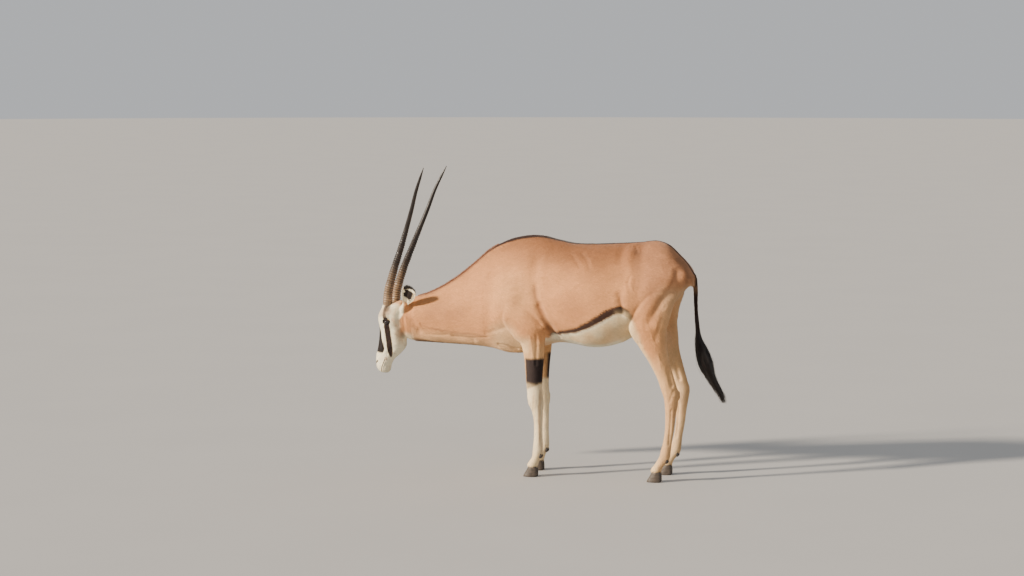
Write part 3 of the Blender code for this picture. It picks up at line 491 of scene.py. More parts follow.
@dataclass(frozen=True)
class Pose:
    """The turn of the head about an upright line through the poll."""

    turn: float = math.radians(-14.0)
    pivot_x: float = -0.7

    def to_plan(self, points: Array | tuple | list) -> Array:
        """Turn points of the head's own straight frame to the plan frame."""
        return self._turned(points, self.turn)

    def to_head(self, points: Array | tuple | list) -> Array:
        """Turn points of the plan frame back to the head's own straight frame."""
        return self._turned(points, -self.turn)

    def _turned(self, points: Array | tuple | list, angle: float) -> Array:
        """Turn points about the upright line of the poll.

        Args:
            points: Points as rows.
            angle: Angle of the turn.

        Returns:
            The turned points.
        """
        turned = np.array(points, float)
        away = turned[..., 0] - self.pivot_x
        side = turned[..., 1].copy()
        turned[..., 0] = self.pivot_x + away * math.cos(angle) - side * math.sin(angle)
        turned[..., 1] = away * math.sin(angle) + side * math.cos(angle)
        return turned


POSE = Pose()


@dataclass(frozen=True)
class Trunk:
    """Trunk and neck as upright rings: x, top, bottom, half width, widest level, crown power, keel power."""

    rows: Line = (
        (-0.745, 0.812, 0.72, 0.034, 0.775, 2.0, 1.9), (-0.7, 0.834, 0.668, 0.046, 0.765, 2.0, 1.8),
        (-0.64, 0.863, 0.642, 0.056, 0.765, 1.9, 1.7), (-0.56, 0.887, 0.637, 0.065, 0.762, 1.8, 1.75),
        (-0.48, 0.926, 0.634, 0.073, 0.765, 1.7, 1.8), (-0.4, 0.979, 0.631, 0.085, 0.785, 1.6, 1.8),
        (-0.32, 1.044, 0.627, 0.104, 0.805, 1.6, 1.8), (-0.24, 1.114, 0.618, 0.128, 0.82, 1.6, 1.7),
        (-0.15, 1.16, 0.597, 0.15, 0.835, 1.6, 1.6), (-0.06, 1.181, 0.604, 0.163, 0.855, 1.6, 1.6),
        (0.02, 1.181, 0.632, 0.172, 0.86, 1.7, 1.7), (0.1, 1.163, 0.655, 0.187, 0.865, 1.8, 1.9),
        (0.18, 1.148, 0.651, 0.203, 0.86, 1.9, 2.0), (0.26, 1.146, 0.638, 0.215, 0.855, 1.9, 2.1),
        (0.34, 1.149, 0.642, 0.217, 0.855, 1.9, 2.1), (0.42, 1.153, 0.666, 0.207, 0.865, 1.9, 2.0),
        (0.5, 1.158, 0.712, 0.19, 0.89, 1.9, 2.0), (0.58, 1.166, 0.758, 0.178, 0.93, 1.9, 2.0),
        (0.64, 1.148, 0.828, 0.168, 0.955, 1.9, 2.0), (0.69, 1.104, 0.886, 0.146, 0.98, 1.9, 2.0),
        (0.735, 1.056, 0.938, 0.11, 0.992, 1.9, 2.0), (0.768, 1.004, 0.95, 0.05, 0.976, 2.0, 2.0),
    )
    count: int = 260
    sides: int = 120

    def read(self) -> Array:
        """Return the rows of a smooth run along the trunk."""
        return through(self.rows, np.linspace(0, 1, self.count))

    def rings(self) -> list[Array]:
        """Return the rings from the poll to the rump.

        Returns:
            Rings with the same number of points each.
        """
        angles = round_angles(self.sides)
        sine, cosine = np.sin(angles), np.cos(angles)
        rings = []
        for x, top, bottom, width, level, crown, keel in self.read():
            shape = np.where(sine >= 0, crown, keel)
            height = np.where(sine >= 0, top - level, level - bottom)
            rings.append(np.stack([np.full(self.sides, x), width * power(cosine, 2.0 / shape),
                                   level + height * power(sine, 2.0 / shape)], -1))
        return rings

    def level(self, x: Array, column: int) -> Array:
        """Return one column of the rows at places along X, such as 1 for the top and 2 for the bottom."""
        read = self.read()
        return np.interp(x, read[:, 0], read[:, column])


@dataclass(frozen=True)
class Head:
    """Head as level rings in its own frame: level, front, rear, half width, widest x and two powers."""

    rows: Line = (
        (0.843, -0.718, -0.684, 0.02, -0.7, 2.0, 2.0), (0.835, -0.742, -0.678, 0.037, -0.71, 2.1, 2.0),
        (0.823, -0.777, -0.674, 0.049, -0.725, 2.2, 2.0), (0.808, -0.804, -0.672, 0.058, -0.742, 2.3, 2.0),
        (0.79, -0.818, -0.672, 0.063, -0.75, 2.3, 2.0), (0.765, -0.8285, -0.672, 0.066, -0.757, 2.3, 2.0),
        (0.74, -0.83, -0.676, 0.067, -0.76, 2.2, 2.0), (0.712, -0.8275, -0.682, 0.063, -0.757, 2.0, 2.0),
        (0.68, -0.8295, -0.684, 0.058, -0.752, 1.9, 2.0), (0.648, -0.8335, -0.683, 0.052, -0.75, 1.9, 2.0),
        (0.62, -0.8385, -0.682, 0.046, -0.752, 1.9, 1.9),
        (0.598, -0.8425, -0.694, 0.0415, -0.762, 2.0, 1.9), (0.57, -0.849, -0.722, 0.038, -0.782, 2.1, 1.9),
        (0.545, -0.851, -0.752, 0.036, -0.796, 2.3, 1.9), (0.518, -0.849, -0.769, 0.036, -0.803, 2.4, 1.9),
        (0.498, -0.845, -0.774, 0.033, -0.806, 2.2, 2.0), (0.482, -0.833, -0.78, 0.025, -0.804, 2.0, 2.0),
        (0.475, -0.82, -0.788, 0.014, -0.802, 2.0, 2.0),
    )
    count: int = 200
    sides: int = 96

    def rings(self) -> list[Array]:
        """Return the rings from the poll down to the lips, in the plan frame.

        Returns:
            Rings with the same number of points each.
        """
        angles = round_angles(self.sides)
        cosine, sine = np.cos(angles), np.sin(angles)
        rings = []
        read = through(self.rows, np.linspace(0, 1, self.count))
        for level, front, rear, width, widest, brow, back in read:
            shape = np.where(cosine >= 0, brow, back)
            depth = np.where(cosine >= 0, widest - front, rear - widest)
            ring = np.stack([widest - depth * power(cosine, 2.0 / shape), width * power(sine, 2.0 / shape),
                             np.full(self.sides, level)], -1)
            rings.append(POSE.to_plan(ring))
        return rings


@dataclass(frozen=True)
class Leg:
    """One leg from the body down: x, y, z, half depth, half width on one side."""

    rows: Line
    side: Side
    step: float = 0.0
    step_levels: Row = (0.66, 0.86)
    count: int = 200
    sides: int = 64

    def path(self, places: Array) -> Array:
        """Return the rows of the leg at parts of its run from 0 to 1, on its own side and at its own step.

        Args:
            places: Parts of the run.

        Returns:
            Rows of x, y, z, half depth and half width.
        """
        read = through(self.rows, places)
        read[:, 1] *= self.side.value
        part = np.clip((self.step_levels[1] - read[:, 2]) / (self.step_levels[1] - self.step_levels[0]),
                       0.0, 1.0)
        read[:, 0] += self.step * part * part * (3.0 - 2.0 * part)
        return read

    def rings(self) -> list[Array]:
        """Return the rings from the body to the top of the hoof.

        Returns:
            Rings with the same number of points each.
        """
        read = self.path(np.linspace(0, 1, self.count))
        return tube_rings(read[:, :3], read[:, 3], read[:, 4], self.sides)

    def centre(self, level: Array) -> Array:
        """Return x and y of the middle of the leg at levels.

        Args:
            level: Heights above the ground.

        Returns:
            Rows of x and y.
        """
        read = self.path(np.linspace(0, 1, self.count))[::-1]
        return np.stack([np.interp(level, read[:, 2], read[:, 0]),
                         np.interp(level, read[:, 2], read[:, 1])], -1)


FORELEG_ROWS = (
    (-0.03, 0.04, 1.06, 0.05, 0.018), (-0.06, 0.088, 0.96, 0.088, 0.04),
    (-0.075, 0.112, 0.84, 0.102, 0.052), (-0.035, 0.119, 0.74, 0.09, 0.052),
    (-0.012, 0.112, 0.675, 0.064, 0.044), (-0.005, 0.107, 0.61, 0.053, 0.037),
    (-0.005, 0.103, 0.53, 0.045, 0.034), (-0.004, 0.1, 0.45, 0.0395, 0.0305),
    (0.001, 0.099, 0.395, 0.037, 0.03), (0.005, 0.098, 0.362, 0.0355, 0.0295),
    (0.011, 0.097, 0.325, 0.0275, 0.0245), (0.015, 0.097, 0.27, 0.0218, 0.0195),
    (0.015, 0.096, 0.2, 0.0215, 0.0195), (0.014, 0.096, 0.15, 0.0245, 0.022),
    (0.012, 0.096, 0.122, 0.025, 0.0235), (0.002, 0.096, 0.088, 0.0205, 0.0215),
    (-0.012, 0.096, 0.058, 0.025, 0.026), (-0.016, 0.096, 0.0463, 0.025, 0.026),
)
HINDLEG_ROWS = (
    (0.612, 0.085, 1.06, 0.098, 0.046), (0.596, 0.106, 0.95, 0.108, 0.064),
    (0.566, 0.117, 0.85, 0.112, 0.069), (0.564, 0.124, 0.765, 0.1, 0.06),
    (0.584, 0.124, 0.69, 0.074, 0.048), (0.612, 0.122, 0.61, 0.052, 0.038),
    (0.643, 0.119, 0.53, 0.041, 0.03), (0.664, 0.116, 0.465, 0.0385, 0.0275),
    (0.676, 0.114, 0.425, 0.0375, 0.028), (0.677, 0.113, 0.385, 0.0325, 0.026),
    (0.674, 0.112, 0.33, 0.0262, 0.0205), (0.669, 0.111, 0.26, 0.0225, 0.019),
    (0.66, 0.11, 0.2, 0.021, 0.019), (0.652, 0.11, 0.155, 0.024, 0.0215),
    (0.645, 0.11, 0.122, 0.025, 0.023), (0.623, 0.11, 0.088, 0.0205, 0.0215),
    (0.606, 0.11, 0.058, 0.0245, 0.0255), (0.602, 0.11, 0.0463, 0.0245, 0.0255),
)
FAR_FORE_STEP = -0.012
FAR_HIND_STEP = 0.015
FEET = (("hind", FAR_HIND_STEP, 0.598, 0.657, 0.11), ("fore", FAR_FORE_STEP, -0.02, 0.028, 0.096))


@dataclass(frozen=True)
class TailStem:
    """The stem of the tail."""

    path: Line = (
        (0.706, 0.0, 1.032), (0.756, 0.0, 0.998), (0.772, 0.0, 0.94), (0.775, 0.0, 0.865),
        (0.779, 0.0, 0.79), (0.786, 0.0, 0.725),
    )
    radii: Row = (0.021, 0.018, 0.0125, 0.01, 0.01, 0.011)

    def rings(self) -> list[Array]:
        """Return the rings from inside the rump to the tuft.

        Returns:
            Rings with the same number of points each.
        """
        places = np.linspace(0, 1, 70)
        thick = run_of(self.radii, places)
        return tube_rings(through(self.path, places), thick, thick, 24)


@dataclass(frozen=True)
class EarPlace:
    """Where an ear stands in the head's own frame: root, direction and the way its cup faces."""

    side: Side
    root: Row
    along: Row
    facing: Row

    def axes(self) -> tuple[Array, Array, Array, Array]:
        """Return the root and the lengthwise, facing and sideways directions.

        Returns:
            The root and three unit directions.
        """
        along = unit(np.array(self.along))
        facing = unit(np.array(self.facing) - along * np.dot(self.facing, along))
        return np.array(self.root), along, facing, np.cross(along, facing)


NEAR_EAR = EarPlace(Side.LEFT, (-0.667, -0.045, 0.814), (0.5, -0.37, 0.82), (0.24, -0.95, 0.0))
FAR_EAR = EarPlace(Side.RIGHT, (-0.667, 0.046, 0.808), (0.25, 0.95, 0.12), (-0.75, 0.1, 0.55))


@dataclass(frozen=True)
class EyePlan:
    """Place and size of the eyes and their lids in the head's own frame."""

    place: Row = (-0.758, 0.0555, 0.737)
    radius: float = 0.0165
    half_long: float = 0.0145
    half_high: float = 0.01
    tilt: float = math.radians(14.0)
    lid: float = 0.0016

    def centre(self, side: Side) -> Array:
        """Return the middle of the eyeball in the head's own frame."""
        return side.place(self.place)

    def local(self, points: Array, side: Side) -> tuple[Array, Array, Array]:
        """Return how far points lie along the lids, above them and outward, from the middle of the eyeball.

        Args:
            points: Places in the plan frame.
            side: Which side.

        Returns:
            Three distances for each point.
        """
        away = POSE.to_head(points) - self.centre(side)
        cosine, sine = math.cos(self.tilt), math.sin(self.tilt)
        return (away[:, 0] * cosine + away[:, 2] * sine, away[:, 2] * cosine - away[:, 0] * sine,
                away[:, 1] * side.value)


EYES = EyePlan()


@dataclass(frozen=True)
class Forms:
    """Muscles, bones, folds and veins of one side: places of a line, reach and height."""

    body: tuple[Form, ...] = (
        ((-0.03, 1.08), (-0.11, 0.9), 0.07, 0.004),
        ((-0.12, 0.89), (-0.16, 0.79), 0.08, 0.007),
        ((-0.11, 0.79), (0.02, 0.75), 0.075, 0.006),
        ((0.05, 0.745), (0.058, 0.7), 0.036, 0.008),
        ((0.01, 1.06), (0.008, 0.98), (0.022, 0.898), (0.05, 0.815), 0.044, -0.004),
        ((0.036, 0.846), (0.056, 0.801), (0.083, 0.741), (0.1, 0.695), 0.036, -0.008),
        ((-0.205, 0.98), (-0.225, 0.8), 0.06, -0.005),
        ((0.178, 1.1), (0.205, 1.074), (0.232, 1.04), 0.036, -0.0011),
        ((0.23, 1.106), (0.262, 1.076), (0.28, 1.03), 0.036, -0.0011),
        ((0.146, 1.07), (0.184, 1.01), 0.036, -0.0008),
        ((0.395, 1.07), (0.395, 0.93), 0.12, -0.01),
        ((0.486, 1.14), (0.478, 1.118), 0.058, 0.0058),
        ((0.476, 1.1), (0.482, 1.06), (0.5, 1.01), (0.49, 0.96), 0.058, 0.0045),
        ((0.53, 1.12), (0.59, 1.09), (0.66, 1.052), 0.06, -0.006),
        ((0.434, 0.918), (0.44, 0.89), (0.45, 0.835), 0.03, -0.005),
        ((0.48, 0.905), (0.49, 0.83), 0.05, 0.005),
        ((0.436, 1.14), (0.43, 1.085), 0.045, -0.005),
        ((0.475, 0.8), (0.492, 0.745), 0.045, 0.004),
        ((0.704, 1.026), (0.7, 0.985), (0.68, 0.94), (0.634, 0.885), (0.596, 0.822), (0.58, 0.785), 0.04,
         -0.006),
        ((0.738, 1.0), (0.728, 0.96), (0.696, 0.905), (0.655, 0.845), 0.036, 0.003),
        ((0.57, 0.98), (0.55, 0.86), 0.08, 0.006),
        ((0.745, 0.08, 1.02), (0.745, 0.08, 0.995), 0.044, 0.0026),
        ((0.66, 0.138, 0.56), (0.682, 0.134, 0.48), 0.016, -0.009),
        ((0.66, 0.094, 0.56), (0.682, 0.094, 0.48), 0.016, -0.007),
        ((-0.03, 0.098, 0.395), (-0.026, 0.098, 0.365), 0.024, 0.004),
        ((0.028, 0.098, 0.385), (0.03, 0.098, 0.35), 0.018, 0.003),
        ((0.712, 0.113, 0.44), (0.713, 0.113, 0.42), 0.02, 0.006),
        ((-0.6, 0.7), (-0.33, 0.66), 0.03, -0.004),
        ((-0.62, 0.79), (-0.35, 0.84), 0.05, 0.003),
    )
    folds: tuple[Form, ...] = (
        ((-0.5945, 0.731), (-0.56, 0.712), (-0.513, 0.704), 0.013, -0.002),
        ((-0.552, 0.682), (-0.5, 0.679), (-0.46, 0.684), 0.011, -0.0015),
        ((-0.43, 0.676), (-0.34, 0.672), (-0.243, 0.681), 0.012, -0.0013),
        ((-0.632, 0.75), (-0.606, 0.69), 0.024, -0.0016),
        ((-0.197, 0.646), (-0.15, 0.64), (-0.104, 0.622), 0.014, -0.0038),
        ((-0.195, 0.628), (-0.11, 0.607), 0.014, 0.0026),
        ((-0.25, 0.7), (-0.15, 0.735), 0.022, -0.0018),
        ((0.012, 0.94), (0.028, 0.875), (0.054, 0.805), (0.08, 0.745), (0.1, 0.692), 0.024, -0.0042),
        ((0.186, 1.094), (0.208, 1.072), (0.232, 1.042), 0.018, -0.0014),
        ((0.234, 1.104), (0.264, 1.074), (0.28, 1.036), 0.018, -0.0014),
        ((0.49, 1.136), (0.502, 1.12), 0.012, -0.0016),
        ((0.478, 1.112), (0.47, 1.086), (0.48, 1.04), (0.486, 0.985), (0.474, 0.94), 0.028, 0.0016),
        ((0.478, 1.0), (0.472, 0.97), (0.482, 0.94), 0.014, -0.002),
        ((0.436, 0.905), (0.444, 0.872), (0.452, 0.835), 0.014, -0.003),
        ((0.7, 1.026), (0.69, 0.985), (0.67, 0.942), (0.628, 0.888), (0.602, 0.83), 0.024, -0.0022),
        ((0.64, 0.83), (0.604, 0.7), 0.02, -0.0018),
        ((0.56, 0.8), (0.6, 0.69), 0.012, 0.0012),
        ((0.604, 0.65), (0.64, 0.585), 0.009, 0.0016),
        ((0.62, 0.64), (0.63, 0.56), 0.008, 0.0012),
        ((0.034, 0.33), (0.034, 0.175), 0.008, -0.0032),
        ((0.016, 0.345), (0.022, 0.17), 0.007, 0.001),
        ((0.034, 0.08, 0.33), (0.034, 0.082, 0.175), 0.008, -0.0032),
        ((0.68, 0.36), (0.668, 0.19), 0.009, -0.0034),
        ((0.68, 0.094, 0.36), (0.668, 0.094, 0.19), 0.009, -0.0034),
        ((0.69, 0.45), (0.672, 0.4), 0.012, -0.0022),
        ((0.65, 0.48), (0.66, 0.42), 0.012, 0.0018),
        ((-0.014, 0.7), (-0.006, 0.64), (0.0, 0.56), 0.01, 0.0016),
        ((0.014, 0.71), (0.016, 0.65), (0.012, 0.56), 0.012, -0.0028),
        ((0.03, 0.69), (0.03, 0.62), 0.012, 0.0018),
    )
    face: tuple[Form, ...] = (
        ((-0.79, 0.06, 0.772), (-0.76, 0.066, 0.768), 0.02, 0.006),
        ((-0.798, 0.056, 0.715), (-0.765, 0.062, 0.708), 0.016, 0.003),
        ((-0.815, 0.045, 0.745), (-0.812, 0.045, 0.72), 0.016, -0.005),
        ((-0.805, 0.04, 0.69), (-0.825, 0.028, 0.6), 0.016, -0.0025),
        ((-0.775, 0.055, 0.69), (-0.8, 0.036, 0.6), 0.016, 0.0025),
        ((-0.715, 0.052, 0.68), (-0.712, 0.045, 0.63), 0.032, 0.005),
        ((-0.745, 0.04, 0.6), (-0.765, 0.036, 0.575), 0.022, -0.004),
        ((-0.83, 0.02, 0.525), (-0.815, 0.03, 0.512), 0.014, 0.0025),
        ((-0.815, 0.03, 0.5), (-0.79, 0.033, 0.522), 0.01, 0.0022),
        ((-0.79, 0.028, 0.492), (-0.775, 0.03, 0.52), 0.01, 0.0015),
        ((-0.7, 0.045, 0.77), (-0.7, 0.05, 0.72), 0.024, -0.004),
        ((-0.775, 0.04, 0.835), (-0.752, 0.04, 0.84), 0.024, 0.004),
    )
    face_folds: tuple[Form, ...] = (
        ((-0.674, 0.052, 0.76), (-0.67, 0.046, 0.705), (-0.68, 0.022, 0.64), 0.018, -0.006),
        ((-0.74, 0.072, 0.722), (-0.772, 0.07, 0.716), 0.006, -0.0012),
        ((-0.778, 0.066, 0.728), (-0.8, 0.052, 0.708), 0.006, -0.0022),
        ((-0.735, 0.072, 0.752), (-0.724, 0.066, 0.742), 0.006, -0.0012),
        ((-0.776, 0.066, 0.757), (-0.744, 0.071, 0.76), 0.007, 0.0018),
        ((-0.746, 0.034, 0.585), (-0.76, 0.034, 0.556), 0.01, -0.0016),
        ((-0.7, 0.052, 0.69), (-0.69, 0.04, 0.65), 0.014, 0.0024),
        ((-0.8, 0.046, 0.66), (-0.79, 0.046, 0.62), 0.007, 0.001),
    )

    @staticmethod
    def _both(tree: BVHTree, lines: tuple[Form, ...], on_head: bool) -> list[tuple[Array, float, float]]:
        """Return the forms of one side and their mirror images in the plan frame.

        Args:
            tree: The skin, to find the outer side for an end that has no y.
            lines: Forms of one side.
            on_head: Whether they are in the head's own frame.

        Returns:
            Places, reach and height of each line.
        """
        found = []
        for *places, reach, height in lines:
            for side in Side:
                line = []
                for place in places:
                    if len(place) == 3:
                        line.append(side.place(place))
                    else:
                        hit = tree.ray_cast(Vector((place[0], side.value, place[1])),
                                            Vector((0, -side.value, 0)))[0]
                        line.append(np.array(hit[:]))
                found.append((POSE.to_plan(line) if on_head else np.array(line), reach, height))
        return found

    def large(self, tree: BVHTree) -> list[tuple[Array, float, float]]:
        """Return the muscles and bones."""
        return self._both(tree, self.body, False) + self._both(tree, self.face, True)

    def small(self, tree: BVHTree) -> list[tuple[Array, float, float]]:
        """Return the folds, creases, tendons and veins."""
        return self._both(tree, self.folds, False) + self._both(tree, self.face_folds, True)


@dataclass(frozen=True)
class Cuts:
    """The mouth line and the nostrils in the head's own frame."""

    mouth_tip: Row = (-0.815, 0.474)
    mouth_corner: Row = (-0.786, 0.545)
    mouth_depth: float = 0.0045
    nostril: Line = ((-0.844, 0.015, 0.514), (-0.841, 0.0225, 0.526), (-0.831, 0.0285, 0.533))
    nostril_depth: float = 0.01

    def mouth_away(self, own: Array) -> Array:
        """Return how far points lie from the plane of the mouth, near the lips only.

        Args:
            own: Points of the head's own frame.

        Returns:
            One distance for each point.
        """
        tip, corner = np.array(self.mouth_tip), np.array(self.mouth_corner)
        line = corner - tip
        along = (own[:, (0, 2)] - tip) @ line / (line @ line)
        away = np.abs((own[:, 0] - tip[0]) * line[1]
                      - (own[:, 2] - tip[1]) * line[0]) / np.linalg.norm(line)
        return away + np.where((along < -0.25) | (along > 1.02), 1.0, 0.0)

    def nostril_path(self, side: Side, count: int) -> Array:
        """Return places along one nostril in the plan frame."""
        return POSE.to_plan(side.place(through(self.nostril, np.linspace(0, 1, count))))


CUTS = Cuts()


@dataclass
class Zones:
    """Tells which part of the animal a place of the skin belongs to, and unrolls each part flat."""

    legs: dict[Zone, Leg]
    trunk: Trunk
    head_end: Row = (-0.632, 0.0, 0.76)
    head_way: Row = (0.962, -0.24, -0.12)
    leg_top: float = 0.665
    neck_end: float = -0.27

    def ahead(self, points: Array) -> Array:
        """Return how far points lie on the head's side of the joint with the neck."""
        return -(points - np.array(self.head_end)) @ unit(np.array(self.head_way))

    def find(self, points: Array) -> Array:
        """Return the zone number of each point.

        Args:
            points: Places in the plan frame.

        Returns:
            Numbers of the Zone values.
        """
        x, y, z = points.T
        left = y < 0
        found = np.where(left, Zone.TRUNK_LEFT.value, Zone.TRUNK_RIGHT.value)
        found[x < self.neck_end] = Zone.NECK.value
        low = z < self.leg_top
        fore = low & (x > -0.12) & (x < 0.3) & (np.abs(y) > 0.045)
        hind = low & (x >= 0.3)
        found[fore] = np.where(left[fore], Zone.FORE_LEFT.value, Zone.FORE_RIGHT.value)
        found[hind] = np.where(left[hind], Zone.HIND_LEFT.value, Zone.HIND_RIGHT.value)
        found[self.ahead(points) > 0] = Zone.HEAD.value
        found[(x > 0.7585) & (np.abs(y) < 0.026) & (z < 0.985)] = Zone.TAIL.value
        return found

    def unroll(self, points: Array, zone: Zone) -> Array:
        """Return the place of skin points on a flat map of their zone, in metres along and around.

        Args:
            points: Places in the plan frame.
            zone: The zone that they lie in.

        Returns:
            Rows of two numbers from 0 to 1.
        """
        x, y, z = points.T
        if zone in (Zone.TRUNK_LEFT, Zone.TRUNK_RIGHT):
            turn = np.arctan2(z - self.trunk.level(x, 4), np.abs(y) + 1e-6)
            flat = np.stack([(x + 0.3) / 1.12, turn / math.pi + 0.5], -1)
        elif zone is Zone.NECK:
            turn = np.arctan2(y, z - self.trunk.level(x, 4))
            flat = np.stack([(x + 0.76) / 0.52, turn / FULL_TURN + 0.5], -1)
        elif zone is Zone.HEAD:
            own = POSE.to_head(points)
            turn = np.arctan2(own[:, 1], -0.752 - own[:, 0] - 0.06 * (0.7 - own[:, 2]) / 0.2)
            flat = np.stack([turn / FULL_TURN + 0.5, (own[:, 2] - 0.45) / 0.45], -1)
        elif zone is Zone.TAIL:
            turn = np.arctan2(y, x - 0.775)
            flat = np.stack([turn / FULL_TURN + 0.5, (z - 0.68) / 0.34], -1)
        else:
            centre = self.legs[zone].centre(z)
            turn = np.arctan2(y - centre[:, 1], -(x - centre[:, 0]))
            flat = np.stack([turn / FULL_TURN + 0.5, z / 0.7], -1)
        return np.clip(flat, MAP_EDGE, 1.0 - MAP_EDGE)


@dataclass
class Lie:
    """The way the hair points at each place of the skin."""

    zones: Zones

    def along(self, points: Array, normals: Array) -> Array:
        """Return unit directions of the hair in the plane of the skin.

        Args:
            points: Places in the plan frame.
            normals: Outward directions there.

        Returns:
            One direction for each point.
        """
        x, y, z = points.T
        way = np.zeros_like(points)
        way[:, 0] = 1.0
        way[:, 2] = -0.25 - 0.9 * soft(x, 0.42, 0.66) * soft(z, 1.12, 0.8)
        way[:, 2] -= 0.5 * soft(z, 0.95, 0.72)
        low = soft(z, 0.76, 0.62) * (x > -0.12)
        way = way * (1.0 - low[:, None]) + np.array([0.18, 0.0, -1.0]) * low[:, None]
        zone = self.zones.find(points)
        neck = zone == Zone.NECK.value
        way[neck] = np.array([0.95, 0.0, -0.12])
        head = zone == Zone.HEAD.value
        rise = POSE.to_plan(np.array([[0.22, 0.0, 1.0], [0.0, 0.0, 0.0]]))
        way[head] = rise[0] - rise[1]
        own = POSE.to_head(points[head])
        way[head] += np.outer(soft(own[:, 0], -0.74, -0.69), [1.2, 0.0, -0.4])
        way[zone == Zone.TAIL.value] = np.array([0.08, 0.0, -1.0])
        return unit(way - normals * np.sum(way * normals, axis=1, keepdims=True))


@dataclass
class Tint:
    """Colours of many places as rows of linear red, green and blue."""

    rows: Array

    @classmethod
    def plain(cls, tone: Tone, count: int) -> "Tint":
        """Start with one tone at all places."""
        return cls(np.tile(tone.linear(), (count, 1)))

    def lay(self, tone: Tone, cover: Array) -> None:
        """Lay a tone over the colours by how far it covers each."""
        part = np.clip(cover, 0.0, 1.0)[:, None]
        self.rows = self.rows * (1.0 - part) + tone.linear() * part


